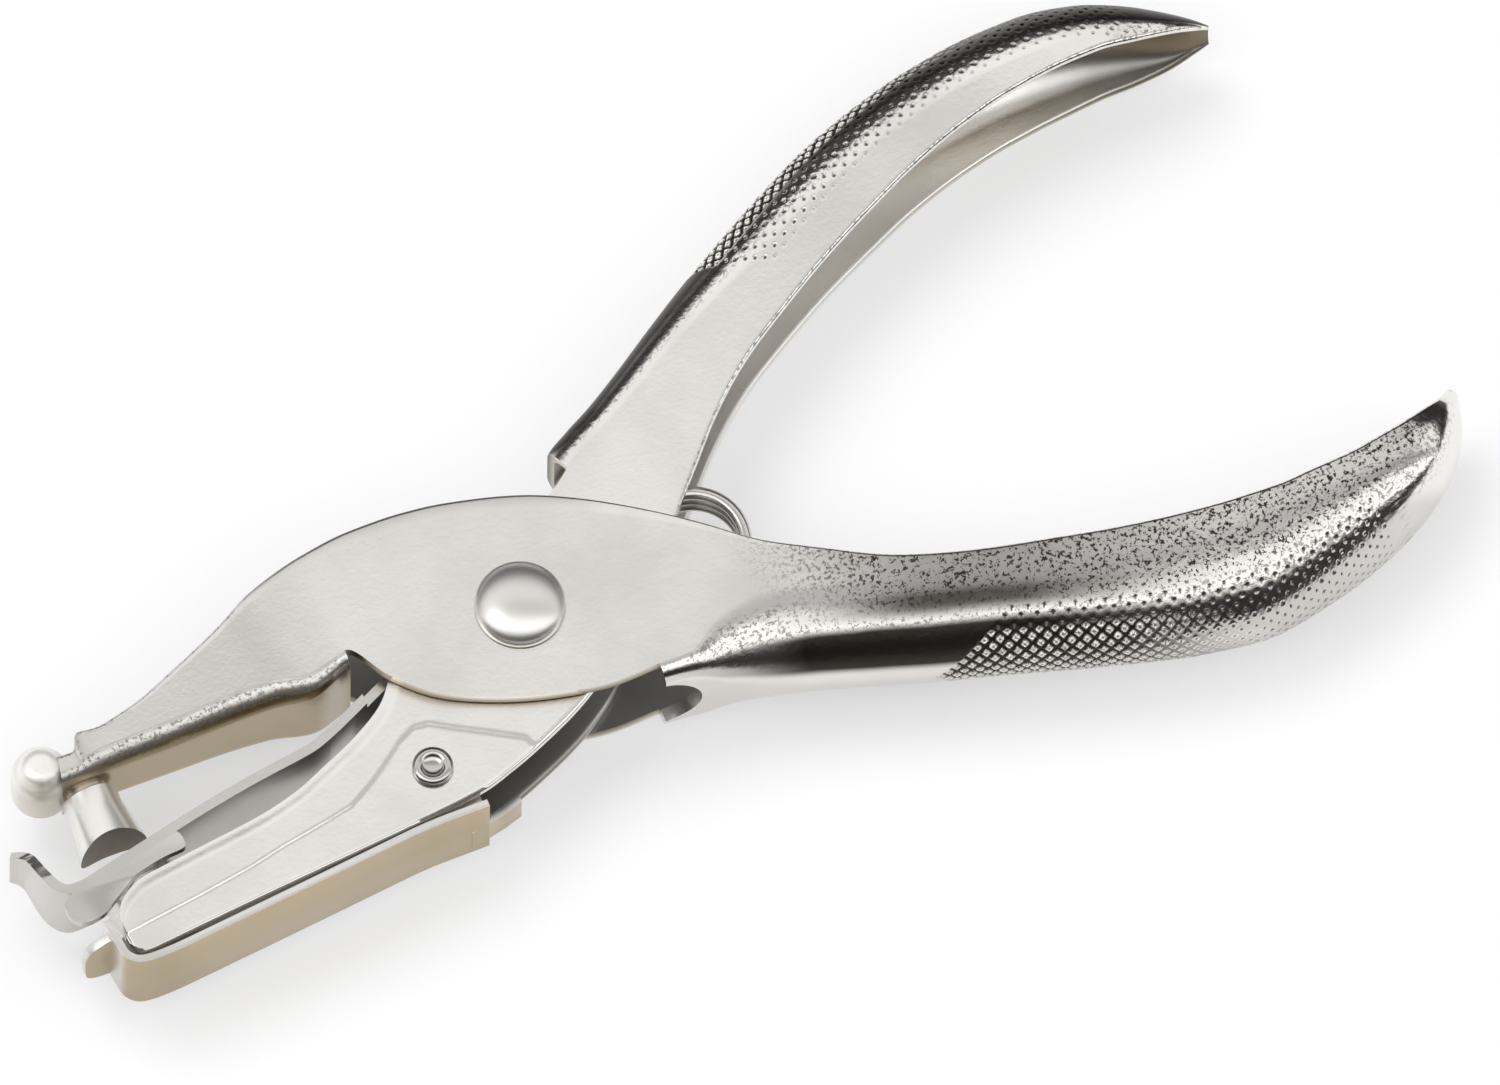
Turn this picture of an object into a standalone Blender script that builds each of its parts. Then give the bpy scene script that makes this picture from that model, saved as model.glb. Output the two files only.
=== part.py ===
"""Single-hole hand punch lying on its side: two pressed-steel channel levers on one rivet.

The pivot axis is the Z axis and the flat lower rivet head stands on z = 0. The jaws point along -X,
the handles along +X, and +Y runs from the lower handle to the upper one. Lengths are in metres.
"""

import math

import bmesh
import bpy
from mathutils import Matrix, Vector

MM = 0.001
Z_MID = 7.2 * MM  # height of the plane that the tool is symmetric about

PUNCH_SHEET = 1.2  # sheet of the outer lever, mm
DIE_SHEET = 0.9  # sheet of the inner lever, mm
DIE_HALF_WIDTH = 4.7  # outside of the inner lever's cheeks, mm from the mid plane

PIN_TIP_RADIUS = 3.175 * MM
PIN_NECK_RADIUS = 2.55 * MM
PIN_LENGTH = 5.95 * MM
PIN_TOP = (-41.15, 3.75)  # where the pin's axis leaves the web of the upper jaw
PIN_LEAN = 4.5  # degrees that the pin leans from -Y towards -X
PIN_HOLLOW_RADIUS = 5.6 * MM  # cylinder that hollows the pin's end face
DIE_HOLE_CENTRE = (-41.45, -4.2)
DIE_HOLE_RADIUS = 3.3 * MM
DIE_HOLE_SLOPE = 7.2  # degrees, slope of the guide strip over the die

PIVOT_RADIUS = 2.5 * MM
PIVOT_HEAD_RADIUS = 4.05 * MM
PIVOT_DOME_HEIGHT = 1.9 * MM
TRAY_PIVOT = (-13.7, -9.6)
TRAY_PIVOT_RADIUS = 1.3 * MM
TRAY_HEAD_RADIUS = 1.85 * MM
RUNNING_GAP = 0.06 * MM
SIDE_GAP = 0.1 * MM

GUIDE_HALF_WIDTH = 4.65
GUIDE_TONGUE_HALF_WIDTH = 3.6  # where the strip passes down between the inner cheeks
DIE_OUTER_RADIUS = 3.72 * MM
SPRING_CENTRE = (17.3, -0.1)
SPRING_WIRE_RADIUS = 0.6
SPRING_COIL_RADIUS = 4.6
SPRING_TURNS = 3
SPRING_PITCH = 1.3

# Each station of a lever: back point, free edge point, half width, corner width, corner depth (mm).
PUNCH_STATIONS = [
    ((-43.4, 4.25), (-42.6, 6.9), 4.3, 1.5, 1.2),
    ((-41.6, 4.1), (-41.2, 6.7), 4.3, 1.5, 1.2),
    ((-40.1, 4.0), (-40.1, 8.1), 4.5, 1.9, 1.7),
    ((-37.4, 3.75), (-38.0, 7.7), 4.6, 2.2, 1.9),
    ((-33.0, 3.3), (-34.4, 8.1), 4.8, 2.3, 2.0),
    ((-28.3, 2.9), (-29.5, 9.4), 5.1, 2.3, 2.0),
    ((-23.7, 2.3), (-24.6, 10.9), 5.5, 2.2, 2.0),
    ((-19.6, 1.3), (-20.5, 12.4), 5.9, 1.9, 1.7),
    ((-15.8, 2.1), (-15.2, 13.3), 6.1, 1.4, 1.3),
    ((-13.6, -1.8), (-11.5, 13.5), 6.1, 1.6, 1.4),
    ((-11.0, -5.0), (-7.5, 13.2), 6.1, 1.6, 1.4),
    ((-6.8, -7.8), (-3.5, 12.5), 6.1, 1.6, 1.4),
    ((-1.6, -10.1), (0.8, 11.2), 6.1, 1.6, 1.4),
    ((3.8, -11.6), (5.4, 9.3), 6.1, 1.6, 1.4),
    ((8.3, -12.1), (9.8, 6.6), 6.1, 1.8, 1.6),
    ((11.2, -12.8), (12.6, 4.5), 6.1, 2.3, 2.1),
    ((14.2, -13.9), (15.6, 2.0), 6.1, 4.2, 4.8),
    ((17.5, -15.3), (18.4, -0.6), 6.1, 5.4, 6.8),
    ((21.4, -16.9), (21.6, -3.8), 6.15, 5.9, 7.8),
    ((25.8, -18.8), (26.4, -7.3), 6.2, 6.1, 8.0),
    ((30.2, -20.7), (31.5, -10.7), 6.3, 6.2, 8.0),
    ((35.8, -22.9), (38.3, -13.7), 6.35, 6.25, 7.8),
    ((41.6, -25.3), (44.9, -15.9), 6.4, 6.3, 7.8),
    ((47.7, -27.7), (50.6, -17.7), 6.5, 6.4, 8.2),
    ((53.6, -29.7), (56.0, -19.1), 6.6, 6.5, 8.6),
    ((60.0, -30.9), (61.4, -20.2), 6.8, 6.7, 8.6),
    ((66.6, -30.2), (66.6, -20.8), 6.9, 6.8, 7.6),
    ((72.4, -28.8), (71.2, -20.8), 6.6, 6.5, 6.4),
    ((77.2, -26.8), (75.2, -20.4), 6.0, 5.9, 5.1),
    ((80.6, -24.4), (78.8, -19.7), 5.0, 4.9, 3.8),
    ((82.9, -21.4), (81.6, -18.8), 3.5, 3.4, 2.1),
    ((84.0, -18.6), (83.1, -18.0), 1.9, 1.8, 0.8),
]
PUNCH_JAW_WEB_END = 8  # last station of the upper jaw's web
PUNCH_HANDLE_WEB_START = 14  # first station of the handle's back
BACK_NOTCH_CENTRE = (7.2, -12.4)  # round notch in the front of the handle's back
BACK_NOTCH_RADIUS = 4.3 * MM

DIE_STATIONS = [
    ((-45.2, -10.3), (-45.15, -12.5), 4.7, 1.0, 0.8),
    ((-44.9, -8.8), (-44.8, -13.2), 4.7, 1.0, 0.8),
    ((-44.2, -7.6), (-44.2, -13.5), 4.7, 1.0, 0.8),
    ((-42.9, -6.7), (-42.9, -13.6), 4.7, 1.0, 0.8),
    ((-41.0, -6.15), (-41.0, -13.6), 4.7, 1.0, 0.8),
    ((-36.5, -6.0), (-36.5, -13.6), 4.7, 1.0, 0.8),
    ((-30.0, -5.8), (-30.0, -13.65), 4.7, 1.0, 0.8),
    ((-26.0, -5.3), (-25.5, -13.7), 4.7, 1.0, 0.8),
    ((-22.2, -4.2), (-20.5, -13.75), 4.7, 1.0, 0.8),
    ((-18.4, -2.9), (-15.5, -13.8), 4.7, 1.0, 0.8),
    ((-15.3, -1.3), (-11.0, -13.7), 4.7, 1.0, 0.8),
    ((-13.0, 1.1), (-7.3, -13.0), 4.7, 1.0, 0.8),
    ((-10.6, 4.1), (-3.4, -11.9), 4.7, 1.0, 0.8),
    ((-7.3, 6.7), (0.5, -10.5), 4.7, 1.0, 0.8),
    ((-3.2, 8.2), (4.2, -8.6), 4.7, 1.0, 0.8),
    ((1.0, 8.7), (7.4, -6.3), 4.7, 1.0, 0.8),
    ((4.6, 8.9), (9.8, -4.4), 4.7, 1.0, 0.8),
    ((7.6, 9.9), (11.6, -2.9), 4.7, 1.2, 1.0),
    ((9.4, 12.8), (13.2, -1.5), 4.7, 2.4, 2.6),
    ((11.8, 14.0), (15.4, 0.5), 4.7, 2.4, 2.7),
    ((14.6, 15.2), (17.6, 2.7), 4.7, 2.6, 2.8),
    ((18.4, 17.1), (20.6, 5.5), 4.75, 2.8, 3.1),
    ((22.8, 19.5), (24.4, 8.9), 4.8, 3.2, 3.5),
    ((27.1, 21.8), (28.9, 12.1), 4.9, 3.8, 4.0),
    ((32.2, 24.3), (34.3, 14.9), 5.1, 4.4, 4.6),
    ((37.6, 26.7), (39.8, 17.4), 5.4, 5.0, 5.0),
    ((43.1, 28.8), (45.3, 19.5), 5.8, 5.6, 5.4),
    ((48.7, 30.3), (50.6, 21.3), 6.1, 6.0, 5.6),
    ((54.4, 31.2), (56.0, 22.6), 6.5, 6.4, 5.8),
    ((59.8, 31.5), (61.0, 23.3), 6.8, 6.7, 5.8),
    ((65.2, 31.2), (65.6, 23.5), 6.9, 6.8, 5.7),
    ((70.0, 30.0), (69.8, 23.4), 6.6, 6.5, 5.0),
    ((74.0, 28.0), (73.4, 22.9), 5.9, 5.8, 3.9),
    ((77.2, 25.7), (76.6, 22.5), 4.8, 4.7, 2.6),
    ((79.4, 23.9), (79.0, 22.3), 3.2, 3.1, 1.3),
    ((80.5, 22.9), (80.3, 22.2), 1.9, 1.8, 0.6),
]
DIE_HANDLE_WEB_START = 18  # first station of the upper handle's back

NOSE_CENTRE = (-44.3, 6.75)
NOSE_PROFILE = [
    (0.0, 4.5), (0.9, 4.42), (1.55, 4.1), (1.9, 3.6), (2.05, 2.9), (2.45, 2.4), (2.65, 1.7), (2.7, 0.0),
]

# Upper face of the paper guide, from its seat between the cheeks forward to the curled lip.
GUIDE_LINE = [
    (-8.6, 2.1), (-14.0, 0.2), (-20.6, -2.1), (-22.6, -2.55), (-28.0, -2.8), (-33.0, -3.2),
    (-39.0, -3.9), (-44.3, -4.6), (-46.0, -4.8), (-47.3, -4.7), (-48.1, -3.9), (-48.5, -2.2),
    (-48.7, -0.4), (-49.3, 0.7), (-50.1, 1.3),
]
GUIDE_SHEET = 0.9

# Side flange of the paper guide, folded down over the die on the domed side of the tool.
FLANGE_OUTLINE = [
    (-46.0, -5.2), (-37.2, -4.1), (-36.4, -5.2), (-36.5, -6.1), (-37.2, -6.25), (-38.5, -6.2),
    (-41.4, -6.5), (-43.1, -7.2), (-44.7, -8.0), (-46.0, -8.6), (-47.2, -8.7), (-48.3, -8.3),
    (-48.8, -7.4), (-48.7, -6.3), (-47.7, -5.6),
]
DIE_DEPTH = 4.3 * MM  # length of the die below the strip

# Section of the tray's bottom plate and its curled front wall, outer face then inner face.
TRAY_LINE = [
    (-10.9, -15.2), (-16.4, -14.7), (-18.5, -14.65), (-30.0, -14.7), (-40.0, -14.7), (-43.0, -14.6),
    (-44.9, -14.3), (-45.9, -13.6), (-46.35, -12.5), (-46.4, -9.3),
]
TRAY_SHEET = 0.7
TRAY_EAR_INSET = 0.75  # ear thickness, just inside the cheeks


def clear_scene():
    for obj in list(bpy.data.objects):
        bpy.data.objects.remove(obj, do_unlink=True)


def collection(name):
    made = bpy.data.collections.new(name)
    bpy.context.scene.collection.children.link(made)
    return made


def plated(name, colour, metallic, roughness):
    material = bpy.data.materials.new(name)
    material.use_nodes = True
    shader = material.node_tree.nodes["Principled BSDF"]
    shader.inputs["Base Color"].default_value = (*colour, 1.0)
    shader.inputs["Metallic"].default_value = metallic
    shader.inputs["Roughness"].default_value = roughness
    return material


def add(name, mesh, where, material=None):
    obj = bpy.data.objects.new(name, mesh)
    where.objects.link(obj)
    if material:
        mesh.materials.append(material)
    return obj


def mesh_from(bm, name):
    bmesh.ops.recalc_face_normals(bm, faces=bm.faces)
    mesh = bpy.data.meshes.new(name)
    bm.to_mesh(mesh)
    bm.free()
    return mesh


def smooth(mesh, degrees=35):
    mesh.shade_smooth()
    mesh.set_sharp_from_angle(angle=math.radians(degrees))


def section(station, around, sheet):
    """Points of one half of a channel's section, from the middle of its back to its free edge.

    With a sheet thickness they lie on the inner face, that far inside the outer one.
    """
    back, edge, half_width, corner_width, corner_depth = station
    back, edge = Vector(back), Vector(edge)
    depth = (edge - back).length
    along = (edge - back) / depth
    sheet = min(sheet, 0.5 * half_width, 0.5 * depth)
    half_width -= sheet
    corner_width = max(corner_width - sheet, 0.1)
    corner_depth = max(corner_depth - sheet, 0.1)
    offsets = [(0.0, sheet)]
    for step in range(around + 1):
        angle = math.radians(90.0 * step / around)
        z = half_width - corner_width + corner_width * math.sin(angle)
        offsets.append((z, sheet + corner_depth * (1 - math.cos(angle))))
    offsets.append((half_width, (sheet + corner_depth + depth) / 2))
    offsets.append((half_width, depth))
    return [(*(back + along * t), z) for z, t in offsets]


def channel(name, stations, around, has_back, sheet):
    """Pressed channel of this sheet lofted through the stations; has_back tells which gaps keep the back."""
    bm = bmesh.new()

    def face_rows(inset):
        rows = []
        for station in stations:
            half = section(station, around, inset)
            full = [(x, y, -z) for x, y, z in reversed(half[1:])] + half
            rows.append([bm.verts.new((x * MM, y * MM, Z_MID + z * MM)) for x, y, z in full])
        return rows

    outer, inner = face_rows(0.0), face_rows(sheet)
    twin = {a: b for rows in zip(outer, inner) for a, b in zip(*rows)}
    sides = 2  # columns of each flat cheek, beyond the rounded corner
    for gap, (first, second) in enumerate(zip(outer, outer[1:])):
        last = len(first) - 1
        for column in range(last):
            on_cheek = column < sides or column >= last - sides
            if has_back(gap) or on_cheek:
                bm.faces.new((first[column], second[column], second[column + 1], first[column + 1]))
    sheet_faces = list(bm.faces)
    rim = [edge.verts[:] for edge in bm.edges if len(edge.link_faces) == 1]
    for face in sheet_faces:
        bm.faces.new([twin[vert] for vert in reversed(face.verts)])
    for first, second in rim:
        bm.faces.new((first, second, twin[second], twin[first]))
    loose = [vert for vert in bm.verts if not vert.link_faces]
    bmesh.ops.delete(bm, geom=loose, context="VERTS")
    bmesh.ops.remove_doubles(bm, verts=bm.verts, dist=1e-6)
    return mesh_from(bm, name)


def bake(obj):
    """Applies the object's modifiers to its mesh."""
    graph = bpy.context.evaluated_depsgraph_get()
    old = obj.data
    mesh = bpy.data.meshes.new_from_object(obj.evaluated_get(graph))
    mesh.name = old.name
    obj.modifiers.clear()
    obj.data = mesh
    bpy.data.meshes.remove(old)


def disc(name, where, radius, low, high, centre=(0.0, 0.0), segments=40, top_radius=None):
    """Upright cylinder or cone round a line parallel to Z, lengths in metres and its centre in mm."""
    bm = bmesh.new()
    bmesh.ops.create_cone(
        bm,
        cap_ends=True,
        segments=segments,
        radius1=radius,
        radius2=radius if top_radius is None else top_radius,
        depth=high - low,
        matrix=Matrix.Translation((centre[0] * MM, centre[1] * MM, (low + high) / 2)),
    )
    return add(name, mesh_from(bm, name), where)


def turned(name, profile, segments, matrix):
    """Solid of revolution about local Z through (radius, height) points that start and end on the axis."""
    bm = bmesh.new()
    verts = [bm.verts.new((radius, 0.0, height)) for radius, height in profile]
    for first, second in zip(verts, verts[1:]):
        bm.edges.new((first, second))
    bmesh.ops.spin(
        bm, geom=bm.verts[:] + bm.edges[:], cent=(0, 0, 0), axis=(0, 0, 1),
        angle=2 * math.pi, steps=segments, use_merge=True,
    )
    bmesh.ops.remove_doubles(bm, verts=bm.verts, dist=1e-7)
    bmesh.ops.transform(bm, matrix=matrix, verts=bm.verts)
    return mesh_from(bm, name)


def ring(name, profile, segments, matrix):
    """Solid of revolution of a closed (radius, height) profile that stays off the axis."""
    bm = bmesh.new()
    verts = [bm.verts.new((radius, 0.0, height)) for radius, height in profile]
    for index, vert in enumerate(verts):
        bm.edges.new((vert, verts[(index + 1) % len(verts)]))
    bmesh.ops.spin(
        bm, geom=bm.verts[:] + bm.edges[:], cent=(0, 0, 0), axis=(0, 0, 1),
        angle=2 * math.pi, steps=segments, use_merge=True,
    )
    bmesh.ops.remove_doubles(bm, verts=bm.verts, dist=1e-7)
    bmesh.ops.transform(bm, matrix=matrix, verts=bm.verts)
    return mesh_from(bm, name)


def prism(outline, low, high, name):
    """Upright solid over a closed XY outline in mm, between two heights in metres."""
    bm = bmesh.new()
    base = [bm.verts.new((x * MM, y * MM, low)) for x, y in outline]
    face = bm.faces.new(base)
    raised = bmesh.ops.extrude_face_region(bm, geom=[face])["geom"]
    tops = [item for item in raised if isinstance(item, bmesh.types.BMVert)]
    bmesh.ops.translate(bm, verts=tops, vec=(0, 0, high - low))
    return mesh_from(bm, name)


def outward(mesh):
    """The same mesh with its faces turned outward."""
    bm = bmesh.new()
    bm.from_mesh(mesh)
    return mesh_from(bm, mesh.name)


def band(line, thickness, side):
    """Closed outline of a sheet of this thickness beside a line; side is +1 for its left hand."""
    points = [Vector(point) for point in line]
    offset = []
    for index, point in enumerate(points):
        before = points[max(index - 1, 0)]
        after = points[min(index + 1, len(points) - 1)]
        along = (after - before).normalized()
        offset.append(point + Vector((-along.y, along.x)) * thickness * side)
    return [tuple(point) for point in points + offset[::-1]]


def combine(obj, other, operation):
    change = obj.modifiers.new(operation.lower(), "BOOLEAN")
    change.operation = operation
    change.solver = "EXACT"
    change.object = other


def arc_points(centre, radius, start, end, count):
    points = []
    for step in range(count + 1):
        angle = math.radians(start + (end - start) * step / count)
        points.append((centre[0] + radius * math.cos(angle), centre[1] + radius * math.sin(angle)))
    return points


clear_scene()
tool = collection("hand_punch")
cutters = collection("cutters")
cutters.hide_render = True

nickel = (0.76, 0.74, 0.71)
satin = plated("satin_nickel_outer", nickel, 1.0, 0.32)
satin_inner = plated("satin_nickel_inner", nickel, 1.0, 0.3)
bright = plated("bright_nickel", (0.8, 0.79, 0.77), 1.0, 0.18)
ground = plated("ground_steel", (0.66, 0.65, 0.63), 1.0, 0.28)
spring_steel = plated("spring_steel", (0.6, 0.59, 0.57), 1.0, 0.25)


def cutter(obj):
    obj.display_type = "WIRE"
    obj.hide_render = True
    return obj


low_all, high_all = -2 * MM, 18 * MM
pivot_hole = cutter(
    disc("pivot_hole", cutters, PIVOT_RADIUS + RUNNING_GAP, low_all, high_all, segments=48)
)
tray_hole = cutter(
    disc("tray_hole", cutters, TRAY_PIVOT_RADIUS + RUNNING_GAP, low_all, high_all, TRAY_PIVOT, 24)
)

# Outer lever: the sheet, the rolled nose in front of the jaw and the hole for the pin's shank.
lean = math.radians(PIN_LEAN)
pin_axis = Matrix.Translation((PIN_TOP[0] * MM, PIN_TOP[1] * MM, Z_MID))
pin_axis = pin_axis @ Matrix.Rotation(math.radians(90), 4, "X") @ Matrix.Rotation(-lean, 4, "Y")

outer_mesh = channel(
    "punch_lever", PUNCH_STATIONS, 6,
    lambda gap: gap < PUNCH_JAW_WEB_END or gap >= PUNCH_HANDLE_WEB_START,
    PUNCH_SHEET,
)
punch_lever = add("punch_lever", outer_mesh, tool)

nose_profile = [(radius * MM, height * MM) for radius, height in NOSE_PROFILE]
nose_profile += [(radius, -height) for radius, height in reversed(nose_profile[:-1])]
nose_place = Matrix.Translation((NOSE_CENTRE[0] * MM, NOSE_CENTRE[1] * MM, Z_MID))
nose = cutter(add("nose_roll", turned("nose_roll", nose_profile, 24, nose_place), cutters))
combine(punch_lever, nose, "UNION")
combine(punch_lever, pivot_hole, "DIFFERENCE")
notch_profile = [(0, -3 * MM), (BACK_NOTCH_RADIUS, -3 * MM), (BACK_NOTCH_RADIUS, 3 * MM), (0, 3 * MM)]
notch_place = Matrix.Translation((BACK_NOTCH_CENTRE[0] * MM, BACK_NOTCH_CENTRE[1] * MM, Z_MID))
notch_place = notch_place @ Matrix.Rotation(math.radians(90), 4, "X")
back_notch = cutter(add("back_notch", turned("back_notch", notch_profile, 32, notch_place), cutters))
combine(punch_lever, back_notch, "DIFFERENCE")
shank_profile = [(0, -3 * MM), (2.0 * MM, -3 * MM), (2.0 * MM, 3 * MM), (0, 3 * MM)]
shank_hole = cutter(add("shank_hole", turned("shank_hole", shank_profile, 24, pin_axis), cutters))
combine(punch_lever, shank_hole, "DIFFERENCE")
bake(punch_lever)
punch_lever.data.materials.append(satin)
smooth(punch_lever.data)

# Punch pin: shank through the web, then the flared body with its hollow-ground end.
pin_profile = [
    (0.0, -2.6 * MM),
    (1.9 * MM, -2.6 * MM),
    (1.9 * MM, 0.15 * MM),
    (PIN_NECK_RADIUS, 0.15 * MM),
    (PIN_NECK_RADIUS, 2.2 * MM),
    (PIN_TIP_RADIUS, PIN_LENGTH - 0.5 * MM),
    (PIN_TIP_RADIUS, PIN_LENGTH),
    (0.0, PIN_LENGTH),
]
punch_pin = add("punch_pin", turned("punch_pin", pin_profile, 40, pin_axis), tool)
hollow_rise = PIN_HOLLOW_RADIUS - math.sqrt(PIN_HOLLOW_RADIUS**2 - PIN_TIP_RADIUS**2)
hollow_centre = pin_axis @ Vector((0, 0, PIN_LENGTH + PIN_HOLLOW_RADIUS - hollow_rise))
hollow = cutter(
    disc(
        "pin_hollow", cutters, PIN_HOLLOW_RADIUS, Z_MID - 6 * MM, Z_MID + 6 * MM,
        (hollow_centre.x / MM, hollow_centre.y / MM), 64,
    )
)
combine(punch_pin, hollow, "DIFFERENCE")
bake(punch_pin)
punch_pin.data.materials.append(ground)
smooth(punch_pin.data)

# Pivot rivet: flat head underneath, shank, domed head on top.
cheek_low = Z_MID - 6.1 * MM
cheek_high = Z_MID + 6.1 * MM
dome = []
for step in range(9):
    angle = math.radians(90 * step / 8)
    dome.append((PIVOT_HEAD_RADIUS * math.cos(angle), PIVOT_DOME_HEIGHT * math.sin(angle)))
dome_foot = cheek_high + SIDE_GAP
rivet_profile = [
    (0.0, 0.0),
    (PIVOT_HEAD_RADIUS - 0.3 * MM, 0.0),
    (PIVOT_HEAD_RADIUS, 0.3 * MM),
    (PIVOT_HEAD_RADIUS, cheek_low - SIDE_GAP),
    (PIVOT_RADIUS, cheek_low - SIDE_GAP),
    (PIVOT_RADIUS, dome_foot),
    (PIVOT_HEAD_RADIUS, dome_foot),
] + [(radius, dome_foot + 0.25 * MM + height) for radius, height in dome[:-1]]
rivet_profile.append((0.0, dome_foot + 0.25 * MM + PIVOT_DOME_HEIGHT))
pivot_rivet = add("pivot_rivet", turned("pivot_rivet", rivet_profile, 48, Matrix()), tool)
pivot_rivet.data.materials.append(bright)
smooth(pivot_rivet.data)

# Inner lever: cheeks of the lower jaw and the upper handle, with its own pivot holes.
inner_mesh = channel(
    "die_lever", DIE_STATIONS, 6, lambda gap: gap >= DIE_HANDLE_WEB_START, DIE_SHEET
)
die_lever = add("die_lever", inner_mesh, tool)
combine(die_lever, pivot_hole, "DIFFERENCE")
combine(die_lever, tray_hole, "DIFFERENCE")
bake(die_lever)
die_lever.data.materials.append(satin_inner)
smooth(die_lever.data)

# Paper guide strip and the die under it share the hole that the pin cuts into.
slope = math.radians(DIE_HOLE_SLOPE)
hole_profile = [(0, -9 * MM), (DIE_HOLE_RADIUS, -9 * MM), (DIE_HOLE_RADIUS, 9 * MM), (0, 9 * MM)]
hole_place = Matrix.Translation((DIE_HOLE_CENTRE[0] * MM, DIE_HOLE_CENTRE[1] * MM, Z_MID))
hole_place = hole_place @ Matrix.Rotation(math.radians(90), 4, "X") @ Matrix.Rotation(slope, 4, "Y")
die_hole = cutter(add("die_hole", turned("die_hole", hole_profile, 40, hole_place), cutters))

guide_low = Z_MID - GUIDE_HALF_WIDTH * MM
guide_high = Z_MID + GUIDE_HALF_WIDTH * MM
guide_mesh = prism(band(GUIDE_LINE, GUIDE_SHEET, 1), guide_low, guide_high, "paper_guide")
paper_guide = add("paper_guide", guide_mesh, tool)
flange_mesh = prism(FLANGE_OUTLINE, guide_high - GUIDE_SHEET * MM, guide_high, "guide_flange")
combine(paper_guide, cutter(add("guide_flange", flange_mesh, cutters)), "UNION")
combine(paper_guide, die_hole, "DIFFERENCE")

# The strip narrows where it enters the inner lever, and its lip has rounded corners.
for sign in (-1, 1):
    inner_side, outer_side = sign * GUIDE_TONGUE_HALF_WIDTH, sign * (GUIDE_HALF_WIDTH + 1)
    ends = sorted((Z_MID + inner_side * MM, Z_MID + outer_side * MM))
    notch_outline = [(-16.0, -3.5), (-5.0, -3.5), (-5.0, 5.0), (-16.0, 5.0)]
    notch = cutter(add(f"guide_notch{sign}", prism(notch_outline, *ends, "guide_notch"), cutters))
    combine(paper_guide, notch, "DIFFERENCE")
    corner = [
        (0.0, 3.0), (0.0, 1.95), (1.3, 1.75), (2.1, 1.25), (2.8, 0.5), (3.5, -0.4), (4.2, -1.8),
        (4.6, -3.0), (4.8, -3.8), (6.0, -3.8), (6.0, 3.0),
    ]
    corner = [(7.2 + sign * across, up) for across, up in corner]
    corner_mesh = prism(corner, -46.9 * MM, -53.0 * MM, "lip_corner")
    corner_mesh.transform(Matrix(((0, 0, 1, 0), (0, 1, 0, 0), (1, 0, 0, 0), (0, 0, 0, 1))))
    corner_mesh = outward(corner_mesh)
    combine(paper_guide, cutter(add(f"lip_corner{sign}", corner_mesh, cutters)), "DIFFERENCE")
bake(paper_guide)
paper_guide.data.materials.append(satin_inner)
smooth(paper_guide.data)

die_profile = [
    (DIE_HOLE_RADIUS, 1.1 * MM),
    (DIE_OUTER_RADIUS, 1.1 * MM),
    (DIE_OUTER_RADIUS, 1.1 * MM + DIE_DEPTH),
    (DIE_HOLE_RADIUS, 1.1 * MM + DIE_DEPTH),
]
die_bushing = add("die_bushing", ring("die_bushing", die_profile, 40, hole_place), tool)
die_bushing.data.materials.append(ground)
smooth(die_bushing.data)

# Hollow rivet that carries the tray, rolled over outside both cheeks.
side = DIE_HALF_WIDTH * MM + SIDE_GAP
head = TRAY_HEAD_RADIUS
shank = TRAY_PIVOT_RADIUS
bore = 0.75 * MM
half_profile = [
    (shank, 0.0),
    (shank, side),
    (head, side),
    (head, side + 0.25 * MM),
    (head - 0.35 * MM, side + 0.6 * MM),
    (bore + 0.35 * MM, side + 0.6 * MM),
    (bore, side + 0.25 * MM),
]
full_profile = half_profile + [(radius, -height) for radius, height in reversed(half_profile)]
tray_axis = Matrix.Translation((TRAY_PIVOT[0] * MM, TRAY_PIVOT[1] * MM, Z_MID))

unique = [point for index, point in enumerate(full_profile) if point not in full_profile[:index]]
tray_rivet = add("tray_rivet", ring("tray_rivet", unique, 28, tray_axis), tool)
tray_rivet.data.materials.append(bright)
smooth(tray_rivet.data)

# Chad tray: bottom plate with its curled front wall, two ears on the hollow rivet and a thumb tab.
tray_low = Z_MID - DIE_HALF_WIDTH * MM
tray_high = Z_MID + DIE_HALF_WIDTH * MM
plate = prism(band(TRAY_LINE, TRAY_SHEET, -1), tray_low, tray_high, "chad_tray")
chad_tray = add("chad_tray", plate, tool)
ear_outline = arc_points(TRAY_PIVOT, 2.7, -10, 190, 12)
ear_outline += [(-17.5, -12.6), (-18.5, -14.2), (-11.2, -14.75), (-10.9, -12.6)]
inner_face = (DIE_HALF_WIDTH - 0.9) * MM - SIDE_GAP
for sign, name in ((-1, "ear_near"), (1, "ear_far")):
    ends = sorted((sign * inner_face, sign * (inner_face - TRAY_EAR_INSET * MM)))
    ear = cutter(add(name, prism(ear_outline, Z_MID + ends[0], Z_MID + ends[1], name), cutters))
    combine(chad_tray, ear, "UNION")
tab_outline = [(-45.9, 10.7), (-48.2, 9.6), (-48.9, 8.8), (-48.9, 4.6), (-48.2, 3.8), (-45.9, 2.9)]
tab_mesh = prism(tab_outline, 9.9 * MM, 10.7 * MM, "thumb_tab")
tab_mesh.transform(Matrix.Rotation(math.radians(90), 4, "X"))
tab = cutter(add("thumb_tab", tab_mesh, cutters))
combine(chad_tray, tab, "UNION")
tail_outline = [
    (-12.6, -15.15), (-9.0, -14.75), (-7.3, -14.4), (-7.2, -13.75), (-9.0, -14.05), (-12.6, -14.45),
]
tail_mesh = prism(tail_outline, tray_low + 1.05 * MM, tray_low + 4.6 * MM, "tray_tail")
combine(chad_tray, cutter(add("tray_tail", tail_mesh, cutters)), "UNION")
combine(chad_tray, tray_hole, "DIFFERENCE")
bake(chad_tray)
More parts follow.
